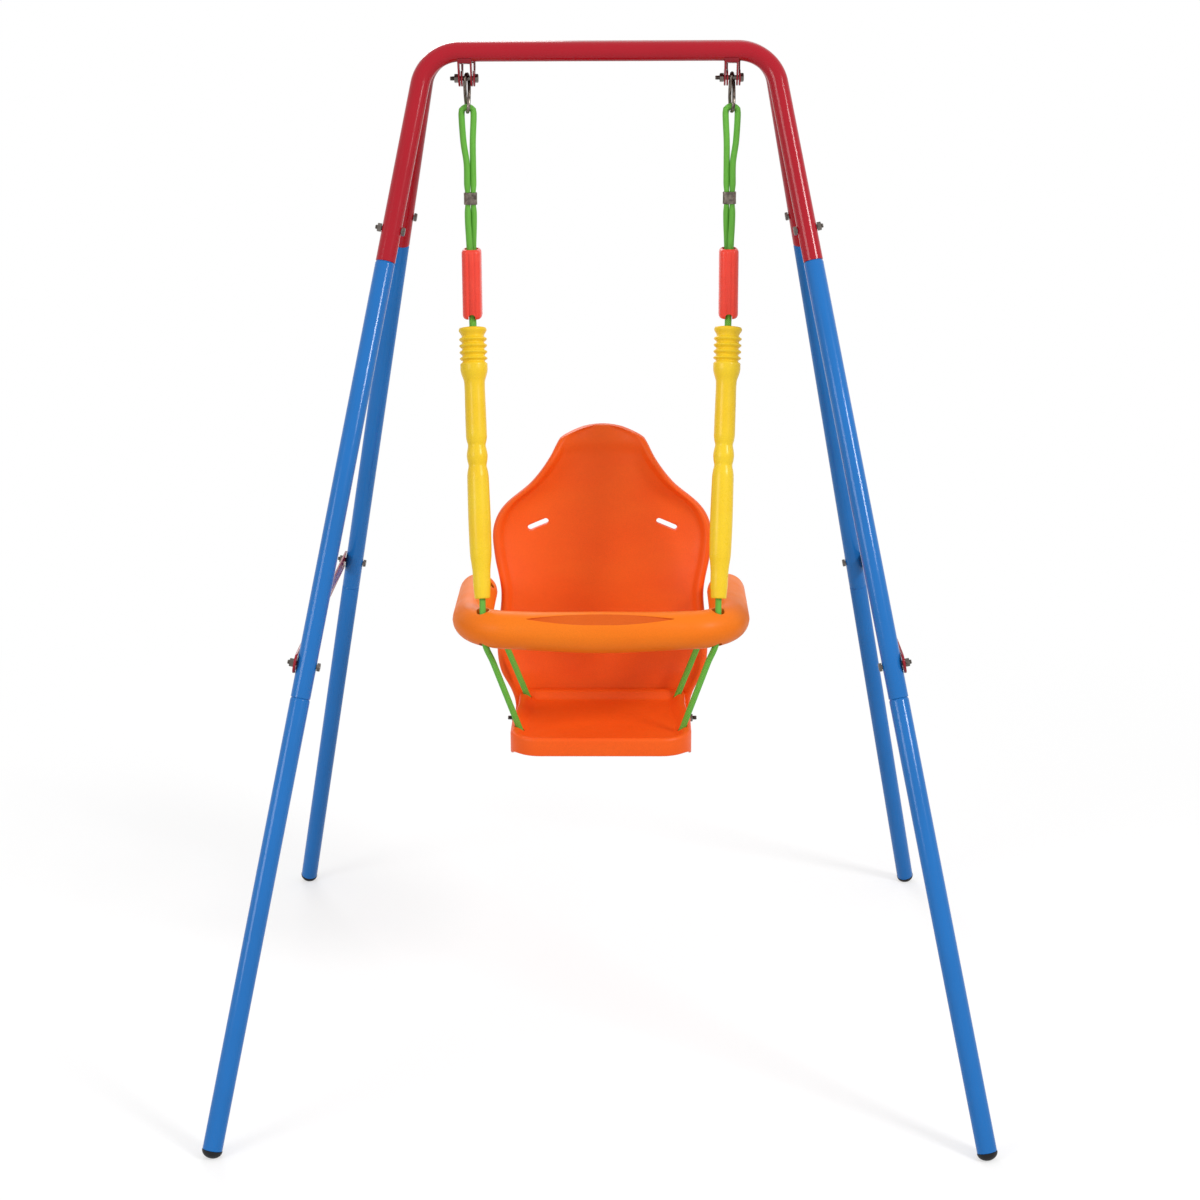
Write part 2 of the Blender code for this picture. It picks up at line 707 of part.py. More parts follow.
def rope_route(side):
    """Half of a rope from the top of its loop down one strand, for the left or right alike.

    side is -1 for the front strand and +1 for the rear one. Each entry is (x, y, z, share of the radius),
    with x counted outwards from the middle of the swing.
    """
    apex = HINGE_Z - LOOP_DROP
    out = -side
    half_crimp = CRIMP_HEIGHT / 2
    pinched = ROPE_R * PINCH + GAP
    leave = CRIMP_HEIGHT * 0.62
    route = [
        (HANGER_X + out * LOOP_HALF * 0.72, 0.0, apex - LOOP_HALF * 0.31, 1.0),
        (HANGER_X + out * LOOP_HALF, 0.0, apex - LOOP_HALF * 1.1, 1.0),
        (HANGER_X + out * LOOP_HALF * 0.92, 0.0, apex - LOOP_HALF * 4.0, 1.0),
        (ROPE_X + out * (ROPE_R + 2 * GAP), 0.0, CRIMP_Z + half_crimp + leave, 1.0),
        (ROPE_X + out * pinched, 0.0, CRIMP_Z + half_crimp, PINCH),
        (ROPE_X + out * pinched, 0.0, CRIMP_Z - half_crimp, PINCH),
        (ROPE_X + out * (ROPE_R + GAP), side * ROPE_R * 0.2, CRIMP_Z - half_crimp - leave, 1.0),
        (ROPE_X + out * ROPE_R * 0.85, side * ROPE_R * 0.7, CRIMP_Z - half_crimp - leave * 2.6, 1.0),
        (ROPE_X + out * ROPE_R * 0.5, side * STRAND_SPREAD * 0.47, ADJUSTER_TOP_Z, 1.0),
        (ROPE_X + out * ROPE_R * 0.2, side * STRAND_SPREAD * 0.73, ADJUSTER_TOP_Z - ADJUSTER_LENGTH / 2, 1.0),
    ]
    return route


def strand_top(side):
    """Where a strand leaves the adjuster's lower end."""
    return Vector((ROPE_X, side * STRAND_SPREAD, STRAND_TOP_Z))


def guard_entry(side):
    """Where a strand bends inside the guard."""
    x, y = GUARD_ENTRY_FRONT if side < 0 else GUARD_ENTRY_REAR
    return Vector((x, y, GUARD_Z - GUARD_ENTRY_DROP))


def seat_hole(side):
    """Where a strand passes through the seat."""
    x, y = SEAT_HOLE_FRONT if side < 0 else SEAT_HOLE_REAR
    return Vector((x, y, SEAT_TOP_Z - SEAT_DISH))


def knot_middle(side):
    """Middle of a stopper knot under the seat, and the strand's direction down through it."""
    entry, hole = guard_entry(side), seat_hole(side)
    down = (hole - entry).normalized()
    return hole + down * (SEAT_WALL + KNOT_HALF + GAP * 8), down


def rope_points(sx):
    """Points and radii of a whole rope, from its front end over the loop to its rear end."""
    strands = []
    for side in (-1, 1):
        places = [(Vector((x, y, z)), ROPE_R * share) for x, y, z, share in rope_route(side)]
        top, entry, hole = strand_top(side), guard_entry(side), seat_hole(side)
        places += straight_run(top, entry)
        places += straight_run(entry, hole)
        places.append((hole, ROPE_R))
        middle, down = knot_middle(side)
        for along, radius in ((-1.0, ROPE_R), (-0.45, KNOT_RADIUS), (0.45, KNOT_RADIUS), (1.0, ROPE_R), (1.5, ROPE_R)):
            places.append((middle + down * KNOT_HALF * along, radius))
        strands.append(places)
    apex = (Vector((HANGER_X, 0.0, HINGE_Z - LOOP_DROP)), ROPE_R)
    whole = strands[0][::-1] + [apex] + strands[1]
    return [(Vector((sx * point.x, point.y, point.z)), radius) for point, radius in whole]


def straight_run(start, stop):
    """Points about one step apart along a straight strand, the first one at start."""
    count = max(2, round((stop - start).length / ROPE_STEP))
    return [(start.lerp(stop, step / count), ROPE_R) for step in range(count)]


def rope(name, sx):
    """One rope as a bevelled curve, thinner in its crimp and thicker at its knots."""
    places = rope_points(sx)
    curve = bpy.data.curves.new(name, "CURVE")
    curve.dimensions = "3D"
    curve.bevel_depth = ROPE_R
    curve.bevel_resolution = 2
    curve.use_fill_caps = True
    spline = curve.splines.new("POLY")
    spline.points.add(len(places) - 1)
    for knot, (point, radius) in zip(spline.points, places):
        knot.co = (*point, 1.0)
        knot.radius = radius / ROPE_R
    curve.materials.append(green_rope())
    node = bpy.data.objects.new(name, curve)
    bpy.context.scene.collection.objects.link(node)
    return node


def stadium(centre, half_x, half_y, corner, steps=4):
    """A rectangle with round corners in the XY plane."""
    points = []
    for quarter in range(4):
        cx = (half_x - corner) * (1 if quarter in (0, 3) else -1)
        cy = (half_y - corner) * (1 if quarter in (0, 1) else -1)
        for step in range(steps):
            angle = math.pi / 2 * (quarter + step / (steps - 1))
            points.append(centre + Vector((cx + corner * math.cos(angle), cy + corner * math.sin(angle), 0)))
    return points


def crimp(name, sx):
    """A flat metal ring pressed round both strands."""
    half_y = ROPE_R * PINCH + GAP * 2
    half_x = half_y + ROPE_R * PINCH + GAP
    bm = bmesh.new()
    rings = []
    for grow, z in ((CRIMP_WALL, -1), (CRIMP_WALL, 1), (0.0, 1), (0.0, -1)):
        centre = Vector((sx * ROPE_X, 0, CRIMP_Z + z * (CRIMP_HEIGHT / 2 - GAP)))
        rings.append(stadium(centre, half_x + grow, half_y + grow, half_y + grow - 0.0001))
    skin(bm, rings, closed=True)
    return finish(name, bm, dark_steel())


def adjuster_section(centre, inset):
    """Outline of the sleeve with two shallow grooves down its front and two down its back."""
    half_x = ADJUSTER_WIDTH / 2 - inset
    half_y = ADJUSTER_DEPTH / 2 - inset
    corner = ADJUSTER_CORNER - inset * 0.5
    flat = half_x - corner
    points = stadium(centre, half_x, half_y, corner)
    half_way = len(points) // 2
    grooved = []
    for index, point in enumerate(points):
        grooved.append(point)
        if (index + 1) % half_way == half_way // 2:
            side = 1 if point.y > centre.y else -1
            ends = (flat * 0.92, flat * 0.64, flat * 0.36)
            depth = GROOVE_DEPTH if inset == 0.0 else 0.0
            depths = (0.0, depth, 0.0)
            face = side * half_y
            near = [Vector((x * side, face - side * d, 0)) for x, d in zip(ends, depths)]
            far = [Vector((-x * side, face - side * d, 0)) for x, d in zip(ends[::-1], depths[::-1])]
            grooved += [centre + spot for spot in near + far]
    return grooved


def bore_section(centre, count):
    """The sleeve's oval bore, with as many points as the outer outline."""
    half_x = ADJUSTER_WIDTH / 2 - ADJUSTER_WALL
    half_y = ADJUSTER_DEPTH / 2 - ADJUSTER_WALL
    points = []
    for step in range(count):
        angle = 2 * math.pi * step / count
        c, s = math.cos(angle), math.sin(angle)
        reach = (abs(c) ** 3.0 + abs(s) ** 3.0) ** (-1 / 3.0)
        points.append(centre + Vector((half_x * reach * c, half_y * reach * s, 0)))
    return points


def adjuster(name, sx):
    bottom, top = ADJUSTER_BOTTOM_Z, ADJUSTER_TOP_Z
    middle = Vector((sx * ROPE_X, 0, 0))
    levels = (
        (bottom, ADJUSTER_ROUND * 0.55),
        (bottom + ADJUSTER_ROUND * 0.8, 0.0),
        (top - ADJUSTER_ROUND, 0.0),
        (top - ADJUSTER_ROUND * 0.25, ADJUSTER_ROUND * 0.35),
        (top, ADJUSTER_ROUND * 0.75),
    )
    rings = [adjuster_section(middle + Vector((0, 0, z)), inset) for z, inset in levels]
    count = len(rings[0])
    rings.append(bore_section(middle + Vector((0, 0, top)), count))
    rings.append(bore_section(middle + Vector((0, 0, bottom)), count))
    bm = bmesh.new()
    skin(bm, rings, closed=True)
    node = finish(name, bm, red_plastic())
    below = -NOTCH_HEIGHT * 0.25
    notch = [Vector((-NOTCH_WIDTH / 2, 0, below)), Vector((NOTCH_WIDTH / 2, 0, below)), Vector((0, 0, NOTCH_HEIGHT))]
    cutter = bmesh.new()
    prism(cutter, notch, middle + Vector((0, 0, bottom)), Vector((0, ADJUSTER_DEPTH * 2, 0)))
    boolean(node, cutter)
    return node


def handle_profile():
    """Distance below the handle's top and outer radius, down to its lower end."""
    profile = [(0.0, RIB_RADIUS * 0.93), (RIB_START * 0.54, RIB_RADIUS)]
    for rib in range(RIB_COUNT):
        tip = RIB_START + RIB_PITCH * (rib + 1)
        profile.append((tip - RIB_PITCH * 0.45, RIB_ROOT_RADIUS))
        profile.append((tip, RIB_RADIUS))
    collar = RIB_START + RIB_PITCH * RIB_COUNT
    profile += [
        (collar + RIB_PITCH * 0.42, RIB_ROOT_RADIUS),
        (collar + RIB_PITCH * 0.84, COLLAR_RADIUS),
        (collar + RIB_PITCH * 2.10, COLLAR_RADIUS * 0.97),
        (collar + RIB_PITCH * 3.60, GRIP_RADIUS),
    ]
    profile += [(HANDLE_LENGTH * along, GRIP_RADIUS * share) for along, share in GRIP_OUTLINE]
    profile.append((HANDLE_LENGTH, HANDLE_END_RADIUS * 0.95))
    return profile


def handle(name, sx):
    """A hollow grip on the front strand, open in a rope hole at each end. Its origin is on its own axis."""
    top, entry = strand_top(-1), guard_entry(-1)
    down = (entry - top).normalized()
    start = top + down * HANDLE_TOP_GAP
    axis = Vector((sx * down.x, down.y, down.z))
    start.x *= sx
    hole = ROPE_R + HANDLE_CLEARANCE
    bellows = RIB_ROOT_RADIUS - HANDLE_WALL
    grip = GRIP_RADIUS * 0.92 - HANDLE_WALL
    neck = HANDLE_END_RADIUS - HANDLE_WALL
    profile = handle_profile() + [
        (HANDLE_LENGTH, hole),
        (HANDLE_LENGTH - HANDLE_WALL, hole),
        (HANDLE_LENGTH - HANDLE_WALL, neck),
        (HANDLE_LENGTH * 0.80, grip),
        (HANDLE_LENGTH * 0.17, grip),
        (HANDLE_LENGTH * 0.12, bellows),
        (HANDLE_WALL, bellows),
        (HANDLE_WALL, hole),
        (0.0, hole),
    ]
    bm = bmesh.new()
    turned(bm, Vector((0, 0, 0)), axis, profile, 12, closed=True)
    node = finish(name, bm, yellow_plastic())
    node.location = start
    return node


# Guard, seat and backrest

def guard_stations():
    """Centre, direction, half width and half height along the hoop, from the left end to the right end."""
    half = []
    arm_end = GUARD_FRONT_Y + GUARD_CORNER_RADIUS
    size = (GUARD_ARM_HALF_WIDTH, GUARD_ARM_HALF_HEIGHT)
    for turn in (80.0, 50.0, 22.0):
        angle = math.radians(turn)
        share = math.cos(angle)
        y = GUARD_REAR_Y + GUARD_ARM_HALF_HEIGHT * math.sin(angle)
        half.append((Vector((-GUARD_HALF_X, y, 0)), Vector((0, -1, 0)), size[0] * share, size[1] * share))
    half.append((Vector((-GUARD_HALF_X, GUARD_REAR_Y, 0)), Vector((0, -1, 0)), *size))
    half.append((Vector((-GUARD_HALF_X, (GUARD_REAR_Y + arm_end) / 2, 0)), Vector((0, -1, 0)), *size))
    centre_x = GUARD_HALF_X - GUARD_CORNER_RADIUS
    for step in range(6):
        angle = math.pi / 2 * step / 5
        x = -(centre_x + GUARD_CORNER_RADIUS * math.cos(angle))
        y = arm_end - GUARD_CORNER_RADIUS * math.sin(angle)
        along = Vector((math.sin(angle), -math.cos(angle), 0))
        half.append((Vector((x, y, 0)), along, *size))
    for share in (0.55, 0.0):
        x = -centre_x * share
        bow = GUARD_BOW * (1 - share * share)
        along = Vector((1, -2 * GUARD_BOW * share / centre_x, 0)).normalized()
        mix = 1 - share
        wide = GUARD_ARM_HALF_WIDTH + (GUARD_BAR_HALF_WIDTH - GUARD_ARM_HALF_WIDTH) * mix
        high = GUARD_ARM_HALF_HEIGHT + (GUARD_BAR_HALF_HEIGHT - GUARD_ARM_HALF_HEIGHT) * mix
        half.append((Vector((x, GUARD_FRONT_Y - bow, 0)), along, wide, high))
    other = []
    for centre, along, wide, high in half[-2::-1]:
        other.append((Vector((-centre.x, centre.y, 0)), Vector((along.x, -along.y, 0)), wide, high))
    return half + other


def guard():
    bm = bmesh.new()
    rings = []
    lift = Vector((0, 0, GUARD_Z))
    for centre, along, wide, high in guard_stations():
        rings.append(circle(centre + lift, along.cross(UPRIGHT), UPRIGHT, wide, GUARD_SIDES, high))
    skin(bm, rings)
    node = finish("guard", bm, orange_plastic())
    for sx in (-1, 1):
        for side in (-1, 1):
            boolean(node, strand_cutter(sx, side))
    boolean(node, recess_cutter())
    return node


def strand_cutter(sx, side):
    """A tube a little wider than the rope, along its way through the guard and bent where the rope bends."""
    top, entry, hole = strand_top(side), guard_entry(side), seat_hole(side)
    above = entry + (top - entry).normalized() * GUARD_BAR_HALF_HEIGHT * 2.2
    below = entry + (hole - entry).normalized() * GUARD_BAR_HALF_HEIGHT * 1.1
    points = [Vector((sx * p.x, p.y, p.z)) for p in (above, entry, below)]
    tool = bmesh.new()
    tube_between(tool, points, [ROPE_R + ROPE_CLEARANCE] * 3, 10)
    return tool


def recess_cutter():
    """A shallow lens along the upper front of the bar, as a body that follows the bar's bow."""
    straight = GUARD_HALF_X - GUARD_CORNER_RADIUS
    wide, high = GUARD_BAR_HALF_WIDTH, GUARD_BAR_HALF_HEIGHT
    out = Vector((0.0, -math.sin(RECESS_TURN) / wide, math.cos(RECESS_TURN) / high)).normalized()
    across = Vector((0.0, out.z, -out.y))
    rings = []
    for step in range(RECESS_STEPS + 1):
        share = 2 * step / RECESS_STEPS - 1
        x = RECESS_HALF_LENGTH * share
        bow = GUARD_BOW * (1 - (x / straight) ** 2)
        mix = 1 - abs(x) / straight
        local_wide = GUARD_ARM_HALF_WIDTH + (wide - GUARD_ARM_HALF_WIDTH) * mix
        local_high = GUARD_ARM_HALF_HEIGHT + (high - GUARD_ARM_HALF_HEIGHT) * mix
        surface = Vector((
            x,
            GUARD_FRONT_Y - bow - local_wide * math.sin(RECESS_TURN),
            GUARD_Z + local_high * math.cos(RECESS_TURN),
        ))
        half = RECESS_HALF_WIDTH * (1 - share * share) + GAP
        floor, lid = surface - out * RECESS_DEPTH, surface + out * RECESS_DEPTH * 3
        rings.append([floor - across * half, floor + across * half, lid + across * half, lid - across * half])
    tool = bmesh.new()
    skin(tool, rings)
    return tool


def seat_half_width(y):
    """The seat narrows behind its middle, where the backrest's ears lie outside it."""
    share = min(1.0, max(0.0, (y - SEAT_TAPER_Y) / SEAT_TAPER_LENGTH))
    ease = share * share * (3 - 2 * share)
    return SEAT_HALF_WIDTH + (SEAT_REAR_HALF_WIDTH - SEAT_HALF_WIDTH) * ease


def seat_outline(inset):
    """Plan of the seat, from the front middle round by the right, moved inwards by an inset."""
    right = []
    front, rear = SEAT_FRONT_Y + inset, SEAT_REAR_Y - inset
    corner = SEAT_CORNER - inset
    rear_corner = max(SEAT_WALL, SEAT_REAR_CORNER - inset)
    for step in range(5):
        angle = math.pi / 2 * step / 4
        x = seat_half_width(SEAT_FRONT_Y) - inset - corner + corner * math.sin(angle)
        right.append((x, front + corner - corner * math.cos(angle)))
    for share in (0.0, 0.5, 1.0):
        y = SEAT_TAPER_Y + SEAT_TAPER_LENGTH * share
        right.append((seat_half_width(y) - inset, y))
    for step in range(4):
        angle = math.pi / 2 * step / 3
        x = SEAT_REAR_HALF_WIDTH - inset - rear_corner + rear_corner * math.cos(angle)
        right.append((x, rear - rear_corner + rear_corner * math.sin(angle)))
    points = [(0.0, front)] + right + [(0.0, rear)]
    points += [(-x, y) for x, y in right[::-1]]
    return points


def skirt_bottom(y):
    """Underside of the skirt: high at the front lip, lower along the sides."""
    share = min(1.0, max(0.0, (y - SEAT_FRONT_Y - SEAT_LIP_Y) / SEAT_LIP_RUN))
    ease = share * share * (3 - 2 * share)
    return SEAT_TOP_Z - SEAT_LIP_HEIGHT - (SEAT_SKIRT_HEIGHT - SEAT_LIP_HEIGHT) * ease


def seat():
    """A moulded pan: dished top, rounded rim, skirt with an open underside."""
    dish = SEAT_TOP_Z - SEAT_DISH
    levels = (
        (SEAT_RIM * 2.0, lambda y: dish),
        (SEAT_RIM, lambda y: dish + SEAT_DISH * 0.30),
        (SEAT_RIM * 0.42, lambda y: SEAT_TOP_Z - SEAT_DISH * 0.04),
        (SEAT_RIM * 0.25, lambda y: SEAT_TOP_Z),
        (0.0, lambda y: SEAT_TOP_Z - SEAT_WALL),
        (0.0, skirt_bottom),
        (SEAT_WALL, skirt_bottom),
        (SEAT_WALL, lambda y: dish - SEAT_WALL),
    )
    rings = []
    for inset, height in levels:
        rings.append([Vector((x, y, height(y))) for x, y in seat_outline(inset)])
    bm = bmesh.new()
    skin(bm, rings)
    node = finish("seat", bm, orange_plastic())
    for sx in (-1, 1):
        for side in (-1, 1):
            entry, hole = guard_entry(side), seat_hole(side)
            way = (hole - entry).normalized()
            centre = hole + way * (SEAT_WALL / 2)
            drill(node, Vector((sx * centre.x, centre.y, centre.z)), Vector((sx * way.x, way.y, way.z)),
                  ROPE_R + SEAT_CLEARANCE, SEAT_WALL * 8, 10)
        drill(node, seat_bolt_spot(sx), Vector((1, 0, 0)), HOLE_D / 2, SEAT_WALL * 8)
    return node


def seat_bolt_spot(sx):
    return Vector((sx * SEAT_REAR_HALF_WIDTH, SEAT_BOLT_Y, SEAT_BOLT_Z))


def back_half_width(height):
    """Half width of the backrest, a smooth curve through the outline's points."""
    rows = BACK_OUTLINE
    for index in range(len(rows) - 1):
        if rows[index][0] <= height <= rows[index + 1][0]:
            break
    p0 = rows[max(index - 1, 0)]
    p1, p2 = rows[index], rows[index + 1]
    p3 = rows[min(index + 2, len(rows) - 1)]
    t = (height - p1[0]) / (p2[0] - p1[0])
    return SEAT_REAR_HALF_WIDTH + catmull_rom(p0[1], p1[1], p2[1], p3[1], t)


def back_face_y(x, height, half):
    """Front face: leaning back with height, its sides coming forward towards the edge."""
    share = min(1.0, abs(x) / half)
    rise = min(1.0, height / BACK_WRAP_RISE)
    return BACK_FOOT_Y + height * math.tan(BACK_LEAN) - BACK_WRAP * rise * share ** 2.6


def back_roll(share, rim, height):
    """How far the rolled rim stands forward: most in the middle of the rim, at the sides and along the top."""
    top = BACK_OUTLINE[-1][0]
    side = max(0.0, (share - rim) / (1 - rim))
    upper = max(0.0, (height / top - BACK_TOP_RIM) / (1 - BACK_TOP_RIM))
    rise = min(1.0, height / BACK_WRAP_RISE)
    return BACK_ROLL * rise * math.sin(math.pi * min(1.0, max(side, upper)))


def back_section(height, hollow):
    """One level of the backrest as a closed ring: front face from left to right, then the back face.

    Hollow levels are a thin panel between two upright rims, the others have the full thickness.
    """
    half = back_half_width(height)
    rim = 1 - BACK_RIM / half
    z = BACK_BOTTOM_Z + height
    front, rear = [], []
    for share in (-1.0, -0.95, -rim, -rim + 0.02, -0.50, 0.0, 0.50, rim - 0.02, rim, 0.95, 1.0):
        x = half * share
        y = back_face_y(x, height, half)
        inside = abs(share) < rim - 0.01
        thick = BACK_PANEL if hollow and inside else BACK_THICKNESS
        edge = BACK_THICKNESS * 0.3 if abs(share) == 1.0 else 0.0
        front.append(Vector((x, y + edge - back_roll(abs(share), rim, height), z)))
        rear.append(Vector((x, y + thick - edge, z)))
    return front + rear[::-1]


def backrest():
    top = BACK_OUTLINE[-1][0]
    levels = [(0.0, False), (BACK_RIM, False), (BACK_RIM * 1.125, True)]
    levels += [(top * share, True) for share in (0.10, 0.18, 0.27, 0.42, 0.56, 0.66, 0.72, 0.78, 0.84)]
    levels += [(top * share, share == BACK_TOP_RIM) for share in (BACK_TOP_RIM, BACK_TOP_RIM + 0.005, 0.955, 1.0)]
    bm = bmesh.new()
    skin(bm, [back_section(height, hollow) for height, hollow in levels])
    bmesh.ops.triangulate(bm, faces=bm.faces)
    node = finish("backrest", bm, orange_plastic())
    for sx in (-1, 1):
        boolean(node, ear(sx), "UNION")
        drill(node, seat_bolt_spot(sx), Vector((1, 0, 0)), HOLE_D / 2, EAR_THICKNESS * 6)
        boolean(node, belt_slot(sx))
    return node


def ear(sx):
    """A flat arm from the backrest's foot forward along the seat's side, round at its bolt."""
    x = sx * (SEAT_REAR_HALF_WIDTH + GAP + EAR_THICKNESS / 2)
    root = BACK_FOOT_Y + BACK_THICKNESS * 0.5
    points = [Vector((x, root, SEAT_BOLT_Z + EAR_ROOT_RISE)), Vector((x, root, BACK_BOTTOM_Z + EAR_THICKNESS / 2))]
    for step in range(6):
        angle = math.radians(-90.0 - 36.0 * step)
        points.append(Vector((
            x,
            SEAT_BOLT_Y + EAR_RADIUS * math.cos(angle),
            SEAT_BOLT_Z + EAR_RADIUS * math.sin(angle),
        )))
    tool = bmesh.new()
    prism(tool, points, Vector((0, 0, 0)), Vector((EAR_THICKNESS, 0, 0)))
    return tool


def belt_slot(sx):
    """A slanted slot with round ends, straight through the backrest."""
    centre = Vector((sx * SLOT_X, BACK_FOOT_Y + SLOT_RISE * math.tan(BACK_LEAN), BACK_BOTTOM_Z + SLOT_RISE))
    along = Vector((sx * math.cos(SLOT_SLANT), 0, -math.sin(SLOT_SLANT)))
    across = Vector((sx * math.sin(SLOT_SLANT), 0, math.cos(SLOT_SLANT)))
    radius = SLOT_HEIGHT / 2
    reach = SLOT_WIDTH / 2 - radius
    points = []
    for end in (1, -1):
        for step in range(5):
            angle = math.radians(-90.0 + 45.0 * step)
            points.append(centre + along * (end * (reach + radius * math.cos(angle)))
                          + across * (end * radius * math.sin(angle)))
    tool = bmesh.new()
    prism(tool, points, Vector((0, 0, 0)), Vector((0, BACK_THICKNESS * 8, 0)))
    return tool


def fasten_seat(place, sx):
    """A bolt from inside the seat's skirt out through the backrest's ear."""
    start = seat_bolt_spot(sx) - Vector((sx * SEAT_WALL, 0, 0))
    fasten("seat", place, start, Vector((sx, 0, 0)), SEAT_WALL + GAP + EAR_THICKNESS, LONG_THREAD_OUT)


# The whole set

def build_frame():
    for word, sy in (("front", -1), ("rear", 1)):
        top_tube(word + "_top_tube", sy)
        for side, sx in (("left", -1), ("right", 1)):
            place = word + "_" + side
            high = joint_bolt(sx, sy, TOP_JOINT_Z)
            low = joint_bolt(sx, sy, LOW_JOINT_Z)
            leg_tube("upper_leg_" + place, sx, sy, TOP_JOINT_Z, leg_point(sx, sy, LOW_JOINT_Z), (high, low))
            leg_tube("lower_leg_" + place, sx, sy, LOW_JOINT_Z, foot_end(sx, sy), (low,))
            foot_cap("foot_cap_" + place, sx, sy)
            hinge_bracket("hinge_bracket_" + place, sx, sy)
            fasten_leg("joint", place, sx, sy, TOP_JOINT_Z, 0.0)
            fasten_leg("brace", place, sx, sy, LOW_JOINT_Z, BRACE_THICKNESS + 2 * GAP)
    for side, sx in (("left", -1), ("right", 1)):
        brace("brace_" + side, sx)
        fasten_hinge(side, sx)


def build_swing():
    for side, sx in (("left", -1), ("right", 1)):
        link("link_" + side, sx)
        rope("rope_" + side, sx)
        crimp("crimp_" + side, sx)
        adjuster("adjuster_" + side, sx)
        handle("handle_" + side, sx)
        fasten_seat(side, sx)
    guard()
    seat()
    backrest()


def main():
    for item in list(bpy.data.objects):
        bpy.data.objects.remove(item)
    build_frame()
    build_swing()


main()
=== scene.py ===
"""Looks of the baby swing set: fine surfaces, materials, light and camera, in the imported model's frame."""

from math import acos, asin, atan2, copysign, cos, exp, hypot, pi, radians, sin, sqrt, tan

import bmesh
import bpy
from mathutils import Matrix, Vector

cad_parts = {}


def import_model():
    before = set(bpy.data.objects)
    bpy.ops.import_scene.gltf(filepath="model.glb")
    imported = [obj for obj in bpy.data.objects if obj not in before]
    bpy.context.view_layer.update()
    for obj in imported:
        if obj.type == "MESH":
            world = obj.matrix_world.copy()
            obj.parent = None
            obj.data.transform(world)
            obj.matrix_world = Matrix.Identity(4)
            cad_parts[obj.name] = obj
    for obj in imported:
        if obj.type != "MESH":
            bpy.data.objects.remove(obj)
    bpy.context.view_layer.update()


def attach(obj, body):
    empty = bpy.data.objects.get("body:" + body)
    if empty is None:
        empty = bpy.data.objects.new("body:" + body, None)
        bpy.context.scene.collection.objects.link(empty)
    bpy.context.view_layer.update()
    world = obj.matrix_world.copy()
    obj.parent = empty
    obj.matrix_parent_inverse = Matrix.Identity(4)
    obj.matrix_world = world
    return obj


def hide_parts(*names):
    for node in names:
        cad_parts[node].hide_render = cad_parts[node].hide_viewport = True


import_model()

# Sizes, as in the model
GAP = 0.0003
EDGE = 0.0008
TUBE_D = 0.025
TUBE_WALL = 0.0012
TUBE_EDGE = 0.0004
BAR_HEIGHT = 1.292
BAR_PITCH = 0.0262
LEAN = radians(18.4)
SPLAY = radians(10.68)
CORNER_X = 0.215
BEND_RADIUS = 0.05
TOP_TUBE_DROP = 0.25
UPPER_LEG_DROP = 0.512
NECK_LENGTH = 0.065
SWAGE_LENGTH = 0.0025
BOLT_ABOVE_JOINT = 0.041
CAP_RADIUS = 0.0129
CAP_LENGTH = 0.01
CAP_CUT = 0.0011
BOLT_R = 0.003
HEX_FLATS = 0.01
HEAD_HEIGHT = 0.004
NUT_HEIGHT = 0.005
THREAD_OUT = 0.0032
LONG_THREAD_OUT = 0.006
THREAD_PITCH = 0.001
HOLE_R = 0.0033
HINGE_DROP = 0.033
HANGER_X = 0.166
LUG_PITCH = 0.0154
LUG_THICKNESS = 0.002
LUG_SIDE_GAP = 0.0012
LUG_EYE_RADIUS = 0.01
LUG_HALF_WIDTH = 0.0101
WEB_THICKNESS = 0.002
WEB_TURN = radians(75.0)
BRACE_WIDTH = 0.025
BRACE_THICKNESS = 0.003
WIRE_R = 0.0022
LINK_HALF_WIDTH = 0.007
LINK_CROSSING = 0.0025
ROPE_R = 0.004
ROPE_SIDES = 20
LOOP_DROP = 0.035
LOOP_HALF = 0.0076
CRIMP_DROP = 0.149
CRIMP_HEIGHT = 0.016
CRIMP_WALL = 0.0011
PINCH = 0.82
ROPE_X = 0.1643
KNOT_RADIUS = 0.0092
KNOT_HALF = 0.0088
KNOT_TURNS = 1.9
ADJUSTER_DROP = 0.2125
ADJUSTER_LENGTH = 0.089
ADJUSTER_WIDTH = 0.025
ADJUSTER_DEPTH = 0.036
ADJUSTER_WALL = 0.0038
GROOVE_DEPTH = 0.0012
STRAND_SPREAD = 0.0098
STRAND_OUT = 0.0025
HANDLE_TOP_GAP = 0.0085
HANDLE_LENGTH = 0.348
HANDLE_LOW_GAP = 0.0521
HANDLE_CLEARANCE = 0.0008
HANDLE_WALL = 0.002
RIB_COUNT = 4
RIB_START = 0.0065
RIB_PITCH = 0.0083
RIB_RADIUS = 0.018
RIB_ROOT_RADIUS = 0.0143
COLLAR_RADIUS = 0.0175
GRIP_RADIUS = 0.0134
HANDLE_END_RADIUS = 0.0106
GRIP_OUTLINE = (
    (0.4, 1.01), (0.417, 0.95), (0.434, 0.85), (0.451, 0.93), (0.472, 1.00), (0.492, 0.95), (0.509, 0.87),
    (0.527, 0.96), (0.545, 1.03), (0.581, 1.05), (0.708, 1.08), (0.8, 1.06), (0.845, 1.02), (0.872, 0.93),
    (0.9, 0.86), (0.954, 0.83),
)
GUARD_HALF_X = 0.168
GUARD_REAR_Y = 0.067
GUARD_CORNER_RADIUS = 0.058
GUARD_FRONT_Y = -0.1205
GUARD_BOW = 0.01
GUARD_ARM_HALF_WIDTH = 0.0255
GUARD_ARM_HALF_HEIGHT = 0.0245
GUARD_BAR_HALF_WIDTH = 0.0235
GUARD_BAR_HALF_HEIGHT = 0.0268
GUARD_ENTRY_DROP = 0.012
